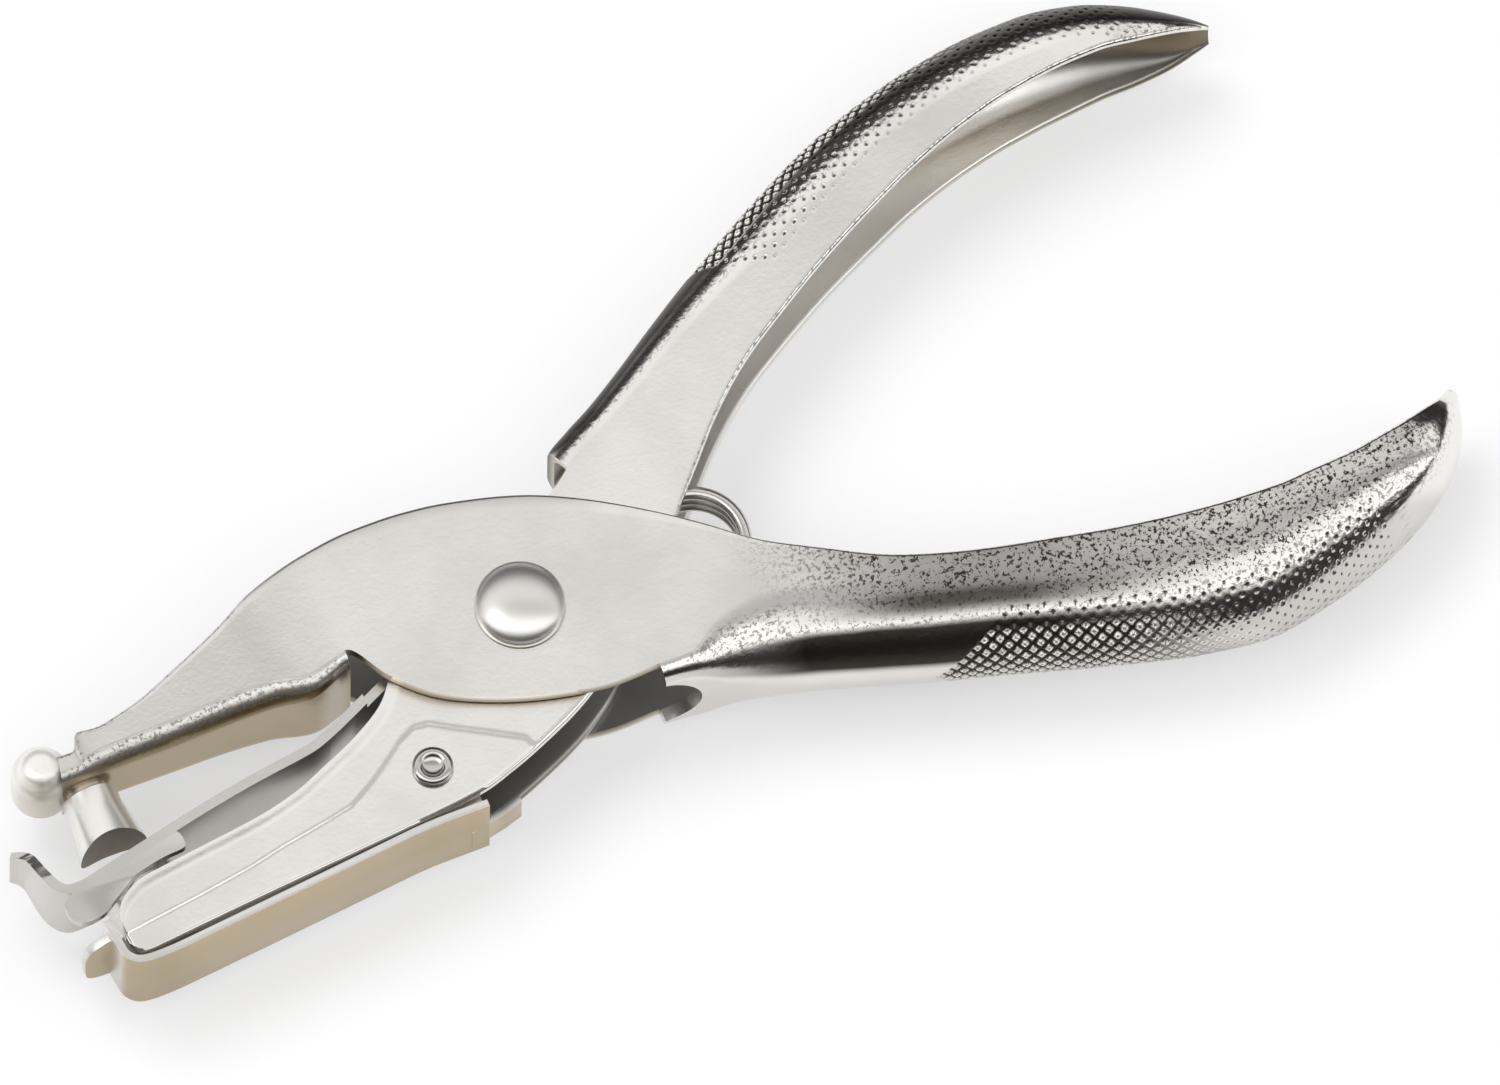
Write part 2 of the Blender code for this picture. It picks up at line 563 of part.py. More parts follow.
chad_tray.data.materials.append(satin_inner)
smooth(chad_tray.data)

# Torsion spring: turns in the crotch of the handles and a leg along the back of each handle.
def spring_path():
    start, stop = math.radians(125), math.radians(125 + 360 * SPRING_TURNS - 20)
    height = SPRING_PITCH * SPRING_TURNS
    count = 20 * SPRING_TURNS
    coil = []
    for step in range(count + 1):
        angle = start + (stop - start) * step / count
        x = SPRING_CENTRE[0] + SPRING_COIL_RADIUS * math.cos(angle)
        y = SPRING_CENTRE[1] + SPRING_COIL_RADIUS * math.sin(angle)
        coil.append((x, y, height * (step / count - 0.5)))
    upper_leg = [(31.5, 21.6, -1.2), (24.0, 16.6, -1.4), (18.5, 11.0, -1.7), (15.5, 6.0, -1.9)]
    lower_leg = [(13.2, -4.6, 1.95), (15.6, -8.5, 1.9), (20.5, -13.2, 1.7), (29.0, -18.0, 1.5)]
    return [(x * MM, y * MM, Z_MID + z * MM) for x, y, z in upper_leg + coil + lower_leg]


curve = bpy.data.curves.new("return_spring", "CURVE")
curve.dimensions = "3D"
curve.bevel_depth = SPRING_WIRE_RADIUS * MM
curve.bevel_resolution = 1
curve.use_fill_caps = True
path = spring_path()
spline = curve.splines.new("POLY")
spline.points.add(len(path) - 1)
for point, place in zip(spline.points, path):
    point.co = (*place, 1.0)
coil = add("spring_curve", curve, tool)
bpy.context.view_layer.update()
wire = bpy.data.meshes.new_from_object(coil.evaluated_get(bpy.context.evaluated_depsgraph_get()))
bpy.data.objects.remove(coil, do_unlink=True)
wire.name = "return_spring"
bm = bmesh.new()
bm.from_mesh(wire)
bmesh.ops.remove_doubles(bm, verts=bm.verts, dist=1e-7)
bmesh.ops.recalc_face_normals(bm, faces=bm.faces)
bm.to_mesh(wire)
bm.free()
return_spring = add("return_spring", wire, tool, spring_steel)
smooth(return_spring.data)
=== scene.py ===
"""Nickel-plated single-hole hand punch lying on a pale table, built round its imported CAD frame.

The scene is in metres in the CAD frame: +Z up, jaws along -X, handles along +X. The sizes and tables of
the parts are in millimetres, scaled by MM where a mesh is made. The tool is symmetric about z = Z_MID.
"""

import math

import bmesh
import bpy
import numpy as np
from mathutils import Matrix, Vector


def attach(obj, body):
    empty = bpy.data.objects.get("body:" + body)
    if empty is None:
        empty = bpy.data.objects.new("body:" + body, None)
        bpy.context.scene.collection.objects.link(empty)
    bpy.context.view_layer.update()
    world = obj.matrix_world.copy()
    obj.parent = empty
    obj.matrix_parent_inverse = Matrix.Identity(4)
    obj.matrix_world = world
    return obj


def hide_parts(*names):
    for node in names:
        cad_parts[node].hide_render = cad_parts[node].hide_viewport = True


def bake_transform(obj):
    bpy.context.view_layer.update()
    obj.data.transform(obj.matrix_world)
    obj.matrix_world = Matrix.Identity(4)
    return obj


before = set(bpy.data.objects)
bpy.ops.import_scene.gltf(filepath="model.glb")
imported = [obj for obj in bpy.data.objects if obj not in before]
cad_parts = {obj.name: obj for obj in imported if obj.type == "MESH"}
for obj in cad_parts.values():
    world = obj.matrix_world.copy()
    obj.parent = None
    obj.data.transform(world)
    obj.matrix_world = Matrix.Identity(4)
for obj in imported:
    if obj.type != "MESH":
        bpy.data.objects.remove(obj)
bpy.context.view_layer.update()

MM = 0.001
Z_MID = 7.2
PUNCH, DIE, TRAY = "punch_lever_body", "die_lever_body", "chad_tray_body"
NEAR_SIDE = (-0.4617, -0.887)  # direction across the table to its near side, where the camera is

PUNCH_SHEET = 1.2
PUNCH_HALF_WIDTH = 6.1  # outside of the outer lever's round cheeks, from the mid plane
DIE_SHEET = 0.9
DIE_HALF_WIDTH = 4.7
PIN_TOP = (-41.15, 3.75)
PIN_LEAN = 4.5
PIN_LENGTH = 5.95
PIN_TIP_RADIUS = 3.175
PIN_NECK_RADIUS = 2.55
PIN_SHANK_RADIUS = 1.9
PIN_SHANK_LENGTH = 2.6
PIN_HOLLOW_RADIUS = 5.6
DIE_HOLE_CENTRE = (-41.45, -4.2)
DIE_HOLE_RADIUS = 3.3
DIE_OUTER_RADIUS = DIE_HOLE_RADIUS + 0.42
DIE_HOLE_SLOPE = 7.2
GUIDE_HALF_WIDTH = 4.65
GUIDE_TONGUE_HALF_WIDTH = 3.6  # where the strip passes down between the inner cheeks
PIVOT_RADIUS = 2.5
PIVOT_HEAD_RADIUS = 4.05
PIVOT_DOME_HEIGHT = 1.9
PIVOT_DOME_STEPS = 24
TRAY_PIVOT = (-13.7, -9.6)
TRAY_PIVOT_RADIUS = 1.3
TRAY_EAR_RADIUS = 2.7
TRAY_EAR_SHEET = 0.75
RUNNING_GAP = 0.06
SIDE_GAP = 0.1
SPRING_CENTRE = (17.3, -0.1)
SPRING_RADIUS = 4.6
SPRING_WIRE = 0.6
SPRING_TURNS = 3
SPRING_PITCH = 1.3
SPRING_START_ANGLE = 125  # degrees round the coil where the upper leg joins it
SPRING_LAST_GAP = 20  # degrees that the last turn stops short by
SPRING_STEPS = 48  # points in each turn

KNURL_LENGTH = 1.38  # diagonal of a knurl diamond along the handle, mm
KNURL_WIDTH = 1.4  # its diagonal round the handle
KNURL_DEPTH = 0.24
PANEL_DEPTH = 0.1  # depth of the panel pressed into the near cheek of the lower jaw
ROLL_DEPTH = 0.22  # how far the lower jaw's border is rolled in
ROLL_WIDTH = 1.3

# Where each knurl lies. Starts and ends are station numbers, and widths are mm round the section from
# the middle of the back. Towards its sides it starts later, by lean mm for each mm. The grooves fade
# out over cut_end and cut_width, and the dimples go on to end and width.
PUNCH_KNURL = {
    "start": 20.1, "lean": 1.0, "end": (26.5, 28.0), "width": (7.0, 8.0),
    "cut_end": (22.3, 25.0), "cut_width": (4.8, 5.6),
}
DIE_KNURL = {
    "start": 22.9, "lean": 0.8, "end": (31.0, 32.5), "width": (8.4, 9.6),
    "cut_end": (26.5, 30.0), "cut_width": (4.6, 5.3),
}

# Steps round half a section: the flat of the back, the bend, the cheek and the rounded edge.
PUNCH_COUNTS = {"flat": 3, "bend": 70, "cheek": 14, "edge": 4}
DIE_COUNTS = {"flat": 3, "bend": 60, "cheek": 56, "edge": 4}

# Each station of a lever: back point, free edge point, half width, corner width, corner depth (mm).
PUNCH_STATIONS = [
    ((-43.4, 4.25), (-42.6, 6.9), 4.3, 1.5, 1.2),
    ((-41.6, 4.1), (-41.2, 6.7), 4.3, 1.5, 1.2),
    ((-40.1, 4.0), (-40.1, 8.1), 4.5, 1.9, 1.7),
    ((-37.4, 3.75), (-38.0, 7.7), 4.6, 2.2, 1.9),
    ((-33.0, 3.3), (-34.4, 8.1), 4.8, 2.3, 2.0),
    ((-28.3, 2.9), (-29.5, 9.4), 5.1, 2.3, 2.0),
    ((-23.7, 2.3), (-24.6, 10.9), 5.5, 2.2, 2.0),
    ((-19.6, 1.3), (-20.5, 12.4), 5.9, 1.9, 1.7),
    ((-15.8, 2.1), (-15.2, 13.3), 6.1, 1.4, 1.3),
    ((-13.6, -1.8), (-11.5, 13.5), 6.1, 1.6, 1.4),
    ((-11.0, -5.0), (-7.5, 13.2), 6.1, 1.6, 1.4),
    ((-6.8, -7.8), (-3.5, 12.5), 6.1, 1.6, 1.4),
    ((-1.6, -10.1), (0.8, 11.2), 6.1, 1.6, 1.4),
    ((3.8, -11.6), (5.4, 9.3), 6.1, 1.6, 1.4),
    ((8.3, -12.1), (9.8, 6.6), 6.1, 1.8, 1.6),
    ((11.2, -12.8), (12.6, 4.5), 6.1, 2.3, 2.1),
    ((14.2, -13.9), (15.6, 2.0), 6.1, 4.2, 4.8),
    ((17.5, -15.3), (18.4, -0.6), 6.1, 5.4, 6.8),
    ((21.4, -16.9), (21.6, -3.8), 6.15, 5.9, 7.8),
    ((25.8, -18.8), (26.4, -7.3), 6.2, 6.1, 8.0),
    ((30.2, -20.7), (31.5, -10.7), 6.3, 6.2, 8.0),
    ((35.8, -22.9), (38.3, -13.7), 6.35, 6.25, 7.8),
    ((41.6, -25.3), (44.9, -15.9), 6.4, 6.3, 7.8),
    ((47.7, -27.7), (50.6, -17.7), 6.5, 6.4, 8.2),
    ((53.6, -29.7), (56.0, -19.1), 6.6, 6.5, 8.6),
    ((60.0, -30.9), (61.4, -20.2), 6.8, 6.7, 8.6),
    ((66.6, -30.2), (66.6, -20.8), 6.9, 6.8, 7.6),
    ((72.4, -28.8), (71.2, -20.8), 6.6, 6.5, 6.4),
    ((77.2, -26.8), (75.2, -20.4), 6.0, 5.9, 5.1),
    ((80.6, -24.4), (78.8, -19.7), 5.0, 4.9, 3.8),
    ((82.9, -21.4), (81.6, -18.8), 3.5, 3.4, 2.1),
    ((84.0, -18.6), (83.1, -18.0), 1.9, 1.8, 0.8),
]
PUNCH_JAW_WEB_END = 8  # last station of the upper jaw's web
PUNCH_HANDLE_WEB_START = 14  # first station of the handle's back
BACK_NOTCH_CENTRE = (7.2, -12.4)  # round notch in the front of the handle's back
BACK_NOTCH_RADIUS = 4.3

DIE_STATIONS = [
    ((-45.2, -10.3), (-45.15, -12.5), 4.7, 1.0, 0.8),
    ((-44.9, -8.8), (-44.8, -13.2), 4.7, 1.0, 0.8),
    ((-44.2, -7.6), (-44.2, -13.5), 4.7, 1.0, 0.8),
    ((-42.9, -6.7), (-42.9, -13.6), 4.7, 1.0, 0.8),
    ((-41.0, -6.15), (-41.0, -13.6), 4.7, 1.0, 0.8),
    ((-36.5, -6.0), (-36.5, -13.6), 4.7, 1.0, 0.8),
    ((-30.0, -5.8), (-30.0, -13.65), 4.7, 1.0, 0.8),
    ((-26.0, -5.3), (-25.5, -13.7), 4.7, 1.0, 0.8),
    ((-22.2, -4.2), (-20.5, -13.75), 4.7, 1.0, 0.8),
    ((-18.4, -2.9), (-15.5, -13.8), 4.7, 1.0, 0.8),
    ((-15.3, -1.3), (-11.0, -13.7), 4.7, 1.0, 0.8),
    ((-13.0, 1.1), (-7.3, -13.0), 4.7, 1.0, 0.8),
    ((-10.6, 4.1), (-3.4, -11.9), 4.7, 1.0, 0.8),
    ((-7.3, 6.7), (0.5, -10.5), 4.7, 1.0, 0.8),
    ((-3.2, 8.2), (4.2, -8.6), 4.7, 1.0, 0.8),
    ((1.0, 8.7), (7.4, -6.3), 4.7, 1.0, 0.8),
    ((4.6, 8.9), (9.8, -4.4), 4.7, 1.0, 0.8),
    ((7.6, 9.9), (11.6, -2.9), 4.7, 1.2, 1.0),
    ((9.4, 12.8), (13.2, -1.5), 4.7, 2.4, 2.6),
    ((11.8, 14.0), (15.4, 0.5), 4.7, 2.4, 2.7),
    ((14.6, 15.2), (17.6, 2.7), 4.7, 2.6, 2.8),
    ((18.4, 17.1), (20.6, 5.5), 4.75, 2.8, 3.1),
    ((22.8, 19.5), (24.4, 8.9), 4.8, 3.2, 3.5),
    ((27.1, 21.8), (28.9, 12.1), 4.9, 3.8, 4.0),
    ((32.2, 24.3), (34.3, 14.9), 5.1, 4.4, 4.6),
    ((37.6, 26.7), (39.8, 17.4), 5.4, 5.0, 5.0),
    ((43.1, 28.8), (45.3, 19.5), 5.8, 5.6, 5.4),
    ((48.7, 30.3), (50.6, 21.3), 6.1, 6.0, 5.6),
    ((54.4, 31.2), (56.0, 22.6), 6.5, 6.4, 5.8),
    ((59.8, 31.5), (61.0, 23.3), 6.8, 6.7, 5.8),
    ((65.2, 31.2), (65.6, 23.5), 6.9, 6.8, 5.7),
    ((70.0, 30.0), (69.8, 23.4), 6.6, 6.5, 5.0),
    ((74.0, 28.0), (73.4, 22.9), 5.9, 5.8, 3.9),
    ((77.2, 25.7), (76.6, 22.5), 4.8, 4.7, 2.6),
    ((79.4, 23.9), (79.0, 22.3), 3.2, 3.1, 1.3),
    ((80.5, 22.9), (80.3, 22.2), 1.9, 1.8, 0.6),
]
DIE_HANDLE_WEB_START = 18  # first station of the upper handle's back

NOSE_CENTRE = (-44.3, 6.75)
NOSE_PROFILE = [
    (0.0, 4.5), (0.9, 4.42), (1.55, 4.1), (1.9, 3.6), (2.05, 2.9), (2.45, 2.4), (2.65, 1.7), (2.7, 0.0),
]

# Upper face of the paper guide, from its seat between the cheeks forward to the curled lip.
GUIDE_LINE = [
    (-8.6, 2.1), (-14.0, 0.2), (-20.6, -2.1), (-22.6, -2.55), (-28.0, -2.8), (-33.0, -3.2),
    (-39.0, -3.9), (-44.3, -4.6), (-46.0, -4.8), (-47.3, -4.7), (-48.1, -3.9), (-48.5, -2.2),
    (-48.7, -0.4), (-49.3, 0.7), (-50.1, 1.3),
]
GUIDE_SHEET = 0.9

# Side flange of the paper guide, folded down over the die on the domed side of the tool.
FLANGE_OUTLINE = [
    (-46.0, -5.2), (-37.2, -4.1), (-36.4, -5.2), (-36.5, -6.1), (-37.2, -6.25), (-38.5, -6.2),
    (-41.4, -6.5), (-43.1, -7.2), (-44.7, -8.0), (-46.0, -8.6), (-47.2, -8.7), (-48.3, -8.3),
    (-48.8, -7.4), (-48.7, -6.3), (-47.7, -5.6),
]

# Section of the tray's bottom plate and its curled front wall, outer face then inner face.
TRAY_LINE = [
    (-10.9, -15.2), (-16.4, -14.7), (-18.5, -14.65), (-30.0, -14.7), (-40.0, -14.7), (-43.0, -14.6),
    (-44.9, -14.3), (-45.9, -13.6), (-46.35, -12.5), (-46.4, -9.3),
]
TRAY_SHEET = 0.7

# Border of the pressed panel round the tray's rivet, from the rear edge forward to the jaw's tip.
PANEL_BORDER = [
    (-4.6, -12.4), (-5.0, -10.9), (-7.3, -9.2), (-10.4, -7.0), (-12.1, -5.7), (-13.5, -5.4),
    (-15.1, -6.0), (-16.9, -7.1), (-19.0, -8.3), (-21.7, -9.5), (-24.4, -9.8), (-29.2, -10.2),
    (-32.5, -10.6), (-37.7, -10.9), (-43.5, -11.1),
]


def ramp(value, start, stop):
    """Smooth step from 0 at start to 1 at stop."""
    t = np.clip((value - start) / (stop - start), 0.0, 1.0)
    return t * t * (3 - 2 * t)


def fade(value, start, stop):
    """Smooth step from 1 at start to 0 at stop."""
    return 1 - ramp(value, start, stop)


def through(rows, at):
    """Monotone cubic curve through the rows of a table, read at these fractional row numbers."""
    rows = np.asarray(rows, float)
    steps = np.diff(rows, axis=0)
    slopes = np.zeros_like(rows)
    slopes[0], slopes[-1] = steps[0], steps[-1]
    before, after = steps[:-1], steps[1:]
    same = before * after > 0
    total = np.where(same, before + after, 1.0)
    slopes[1:-1] = np.where(same, 2 * before * after / total, 0.0)
    at = np.asarray(at, float)
    first = np.clip(np.floor(at).astype(int), 0, len(rows) - 2)
    t = (at - first)[:, None]
    p0, p1, m0, m1 = rows[first], rows[first + 1], slopes[first], slopes[first + 1]
    return (
        (2 * t**3 - 3 * t**2 + 1) * p0
        + (t**3 - 2 * t**2 + t) * m0
        + (3 * t**2 - 2 * t**3) * p1
        + (t**3 - t**2) * m1
    )


def half_sections(table, sheet, counts):
    """Half sections of one face of a channel: an array of rows of points, in mm from the mid plane."""
    back, edge = table[:, 0:2], table[:, 2:4]
    half_width, corner_width, corner_depth = table[:, 4], table[:, 5], table[:, 6]
    depth = np.linalg.norm(edge - back, axis=1)
    along = (edge - back) / depth[:, None]
    full_sheet = counts["sheet"]
    inset = np.minimum(sheet, np.minimum(0.5 * half_width, 0.5 * depth))
    whole = np.minimum(full_sheet, np.minimum(0.5 * half_width, 0.5 * depth))
    wide = half_width - inset
    corner_width = np.maximum(corner_width - inset, 0.1)
    corner_depth = np.maximum(corner_depth - inset, 0.1)
    nose = np.minimum(0.4, 0.25 * depth)
    columns = []
    for step in range(counts["flat"]):
        columns.append(((wide - corner_width) * step / counts["flat"], inset))
    for step in range(counts["bend"] + 1):
        angle = math.radians(90.0 * step / counts["bend"])
        z = wide - corner_width + corner_width * math.sin(angle)
        columns.append((z, inset + corner_depth * (1 - math.cos(angle))))
    start, stop = inset + corner_depth, depth - nose
    stop = np.maximum(stop, start + 0.01)
    for step in range(1, counts["cheek"] + 1):
        columns.append((wide, start + (stop - start) * step / counts["cheek"]))
    sign = 1 if sheet == 0 else -1
    middle = half_width - whole / 2
    for step in range(1, counts["edge"] + 1):
        angle = math.radians(90.0 * step / counts["edge"])
        z = middle + sign * whole / 2 * math.cos(angle)
        columns.append((z, stop + (depth - stop) * math.sin(angle)))
    points = np.empty((len(table), len(columns), 3))
    for index, (z, t) in enumerate(columns):
        points[:, index, 0:2] = back + along * np.broadcast_to(t, len(table))[:, None]
        points[:, index, 2] = z
    return points


def both_sides(half):
    """Whole sections, from the edge under the mid plane, over the back, to the edge above it."""
    mirrored = half[:, :0:-1].copy()
    mirrored[..., 2] *= -1
    return np.concatenate([mirrored, half], axis=1)


def grid_normals(grid):
    du = np.gradient(grid, axis=0)
    dv = np.gradient(grid, axis=1)
    normal = np.cross(du, dv)
    length = np.linalg.norm(normal, axis=2, keepdims=True)
    return normal / np.maximum(length, 1e-9)


def row_places(stations, coarse, fine, fine_from, fine_to):
    """Fractional row numbers spaced by about coarse mm, or by fine mm between two stations."""
    places = [0.0]
    for gap, (first, second) in enumerate(zip(stations, stations[1:])):
        length = max(math.dist(first[0], second[0]), math.dist(first[1], second[1]))
        step = fine if fine_from <= gap < fine_to else coarse
        count = max(2, round(length / step))
        places += [gap + (k + 1) / count for k in range(count)]
    return np.array(places)


def channel_faces(rows, columns, cheek, backed):
    """Faces of a channel's outer and inner skins and of the rims between them. cheek is how many faces
    wide each cheek is, and backed says of each gap between two rows whether it has a back."""
    number = np.arange(rows * columns).reshape(rows, columns)
    twin = number + rows * columns
    twin[:, 0], twin[:, -1] = number[:, 0], number[:, -1]
    column = np.arange(columns - 1)
    on_cheek = (column < cheek) | (column >= columns - 1 - cheek)
    keep = backed[:, None] | on_cheek[None, :]
    here, after = slice(None, -1), slice(1, None)
    skins = []
    for index, order in ((number, 1), (twin, -1)):
        corners = [index[here, here], index[after, here], index[after, after], index[here, after]]
        skins.append(np.stack(corners, axis=-1)[keep][:, ::order])
    pairs = np.concatenate([skins[0][:, [k, (k + 1) % 4]] for k in range(4)])
    ends = np.sort(pairs, axis=1)
    _, where, count = np.unique(ends, axis=0, return_index=True, return_counts=True)
    flat_twin = twin.ravel()
    faces = skins[0].tolist() + skins[1].tolist()
    for a, b in pairs[where[count == 1]].tolist():
        ring = [b, a, int(flat_twin[a]), int(flat_twin[b])]
        ring = [v for k, v in enumerate(ring) if v != ring[k - 1]]
        if len(set(ring)) > 2:
            faces.append(ring)
    return faces


def store_marks(mesh, marks, places, shape, used):
    """Stores each mark on the mesh's points: the relief's values outside and plain ones inside, with
    painted shade inside that is deepest at the jaws and at the handle's end."""
    inside_shade = 0.05 + 0.5 * fade(places, 12.0, 16.0) + 0.5 * ramp(places, 29.0, 33.0)
    # Inside: painted shade, and the painted yellowish shade at full strength.
    inside = {"bend": 0.0, "dot": inside_shade[:, None], "tan": 1.0, "pad": 0.0, "polish": 0.0}
    for mark, outside in marks.items():
        skins = [np.broadcast_to(values, shape).ravel() for values in (outside, inside[mark])]
        attribute = mesh.attributes.new(mark, "FLOAT", "POINT")
        attribute.data.foreach_set("value", np.concatenate(skins)[used].astype(np.float32))


def lever_mesh(name, stations, sheet, has_back, places, counts, relief):
    """Closed mesh of a pressed channel. relief gives how far its outer face moves along the normal, in
    mm, and the marks that its material reads at each point: bend for pits (and a speckled painted shade
    on the lower handle's shoulder), dot for painted shade (with some dirt in the knurl), tan for a
    painted yellowish shade, pad for a painted highlight and polish for a smoother finish."""
    counts = dict(counts, sheet=sheet)
    table = np.array([(*back, *edge, *rest) for back, edge, *rest in stations])
    table = through(table, places)
    outer = both_sides(half_sections(table, 0.0, counts))
    inner = both_sides(half_sections(table, sheet, counts))
    rows, columns = outer.shape[:2]
    normal = grid_normals(outer)
    outward = table[:, 0:2] - table[:, 2:4]
    if np.sum(normal[rows // 2, columns // 2, :2] * outward[rows // 2]) < 0:
        normal = -normal
    height, marks = relief(outer, normal, places)
    moves = np.ones(columns)
    moves[: counts["edge"]] = 0
    moves[-counts["edge"]:] = 0
    outer = outer + normal * (height * moves)[..., None]

    gap = np.floor(places[:-1] + 1e-6).astype(int)
    backed = np.array([has_back(index) for index in gap])
    faces = channel_faces(rows, columns, counts["cheek"] + counts["edge"], backed)
    points = np.concatenate([outer.reshape(-1, 3), inner.reshape(-1, 3)])
    used = np.unique([v for face in faces for v in face])
    renumber = np.full(len(points), -1)
    renumber[used] = np.arange(len(used))
    faces = [[int(renumber[v]) for v in face] for face in faces]
    points = (points[used] + (0, 0, Z_MID)) * MM
    mesh = bpy.data.meshes.new(name)
    mesh.from_pydata(points.tolist(), [], faces)
    bm = bmesh.new()
    bm.from_mesh(mesh)
    bmesh.ops.recalc_face_normals(bm, faces=bm.faces)
    bm.to_mesh(mesh)
    bm.free()
    store_marks(mesh, marks, places, height.shape, used)
    return mesh


def diamonds(distance, around):
    """How strong a diamond knurl's grooves, dimples and raised pads are at a point, from 0 to 1."""
    a = distance / KNURL_LENGTH + around / KNURL_WIDTH
    b = distance / KNURL_LENGTH - around / KNURL_WIDTH
    nearest = np.minimum(np.abs(a - np.round(a)), np.abs(b - np.round(b))) * 2
    dimple = ramp(nearest, 0.62, 0.86)
    return fade(nearest, 0.26, 0.52), dimple, ramp(nearest, 0.4, 0.54) * (1 - 0.85 * dimple)


def facing_near(normal):
    """How far the face leans to the near side of the table: the sine of its tilt."""
    return NEAR_SIDE[0] * normal[..., 0] + NEAR_SIDE[1] * normal[..., 1]


def arc_lengths(points, axis):
    """Length along a grid of points from its first row or column, in mm."""
    steps = np.linalg.norm(np.diff(points, axis=axis), axis=2)
    zero = np.zeros_like(steps.take([0], axis=axis))
    return np.concatenate([zero, np.cumsum(steps, axis=axis)], axis=axis)


def round_back(grid):
    """Signed distance round the section from the middle of the back, in mm."""
    round_it = arc_lengths(grid, 1)
    return round_it - round_it[:, [grid.shape[1] // 2]]


def along_back(grid):
    """Length along the lever from its front, measured on the middle of the back, in mm."""
    return arc_lengths(grid, 0)[:, [grid.shape[1] // 2]]


def from_border(points, border):
    """Signed distance in mm of XY points from an open border line, positive on its right."""
    best = np.full(points.shape[:-1], 1e9)
    signed = np.zeros_like(best)
    for start, stop in zip(border, border[1:]):
        start, stop = np.array(start), np.array(stop)
        run = stop - start
        offset = points - start
        t = np.clip(offset @ run / (run @ run), 0, 1)
        gap = offset - t[..., None] * run
        distance = np.linalg.norm(gap, axis=-1)
        side = np.sign(run[0] * offset[..., 1] - run[1] * offset[..., 0])
        closer = distance < best
        best = np.where(closer, distance, best)
        signed = np.where(closer, -distance * side, signed)
    return signed


def add(name, mesh, body, *replaced):
    """New object of this mesh that moves with a body and stands for the CAD nodes it replaces."""
    obj = bpy.data.objects.new(name, mesh)
    bpy.context.scene.collection.objects.link(obj)
    if body:
        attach(obj, body)
    if replaced:
        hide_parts(*replaced)
    return obj


def smooth(obj, degrees=40):
    """Smooth shading, except over edges sharper than this."""
    obj.data.shade_smooth()
    obj.data.set_sharp_from_angle(angle=math.radians(degrees))


def mesh_from(bm, name):
    bmesh.ops.recalc_face_normals(bm, faces=bm.faces)
    mesh = bpy.data.meshes.new(name)
    bm.to_mesh(mesh)
    bm.free()
    return mesh


def turned(name, profile, matrix, segments=96, is_ring=False):
    """Solid of revolution about local Z of (radius, height) points in mm."""
    bm = bmesh.new()
    verts = [bm.verts.new((radius * MM, 0.0, height * MM)) for radius, height in profile]
    for first, second in zip(verts, verts[1:]):
        bm.edges.new((first, second))
    if is_ring:
        bm.edges.new((verts[-1], verts[0]))
    bmesh.ops.spin(
        bm, geom=bm.verts[:] + bm.edges[:], cent=(0, 0, 0), axis=(0, 0, 1),
        angle=2 * math.pi, steps=segments, use_merge=True,
    )
    bmesh.ops.remove_doubles(bm, verts=bm.verts, dist=1e-7)
    bmesh.ops.transform(bm, matrix=matrix, verts=bm.verts)
    return mesh_from(bm, name)


def prism(name, outline, low, high):
    """Solid over a closed XY outline between two heights, all in mm."""
    bm = bmesh.new()
    base = [bm.verts.new((x * MM, y * MM, low * MM)) for x, y in outline]
    raised = bmesh.ops.extrude_face_region(bm, geom=[bm.faces.new(base)])["geom"]
    tops = [item for item in raised if isinstance(item, bmesh.types.BMVert)]
    bmesh.ops.translate(bm, verts=tops, vec=(0, 0, (high - low) * MM))
    return mesh_from(bm, name)


def band(line, thickness, side):
    """Closed outline of a sheet of this thickness beside a line; side is +1 for its left hand."""
    points = [Vector(point) for point in line]
    offset = []
    for index, point in enumerate(points):
        run = points[min(index + 1, len(points) - 1)] - points[max(index - 1, 0)]
        run.normalize()
        offset.append(point + Vector((-run.y, run.x)) * thickness * side)
    return [tuple(point) for point in points + offset[::-1]]


def rounded_line(line, count):
    """The line with its corners eased through count points per span."""
    places = np.linspace(0, len(line) - 1, (len(line) - 1) * count + 1)
    return [tuple(point) for point in through(line, places)]


def combine(obj, mesh, operation, solver="EXACT"):
    """Joins the mesh to the object, or cuts it away."""
    other = bpy.data.objects.new("helper", mesh)
    bpy.context.scene.collection.objects.link(other)
    change = obj.modifiers.new(operation, "BOOLEAN")
    change.operation, change.solver, change.object = operation, solver, other
    bake(obj)
    bpy.data.objects.remove(other)


def bake(obj):
    """Applies the object's modifiers."""
    graph = bpy.context.evaluated_depsgraph_get()
    mesh = bpy.data.meshes.new_from_object(obj.evaluated_get(graph))
    obj.modifiers.clear()
    obj.data = mesh


def soften(obj, width, segments=3, degrees=35):
    """Rounds the object's edges by this many mm."""
    change = obj.modifiers.new("soften", "BEVEL")
    change.width = width * MM
    change.segments = segments
    change.angle_limit = math.radians(degrees)
    change.use_clamp_overlap = True
    bake(obj)


# ---------------------------------------------------------------- materials
NICKEL = (0.88, 0.865, 0.84)
SIDE_SHADE_TINT = (0.58, 0.485, 0.335)  # what the painted yellowish shade leaves of the metal's colour
# Dark colour for pits, random wear and painted shade.
DARK_PITS_AND_SHADE = (0.06, 0.056, 0.05)
# colour of the painted highlight on pads
PAD_HIGHLIGHT = (0.98, 0.96, 0.9)
SHADED_FACING = (-0.46, -0.88, -0.1)  # direction that the faces with the most painted yellowish shade look in
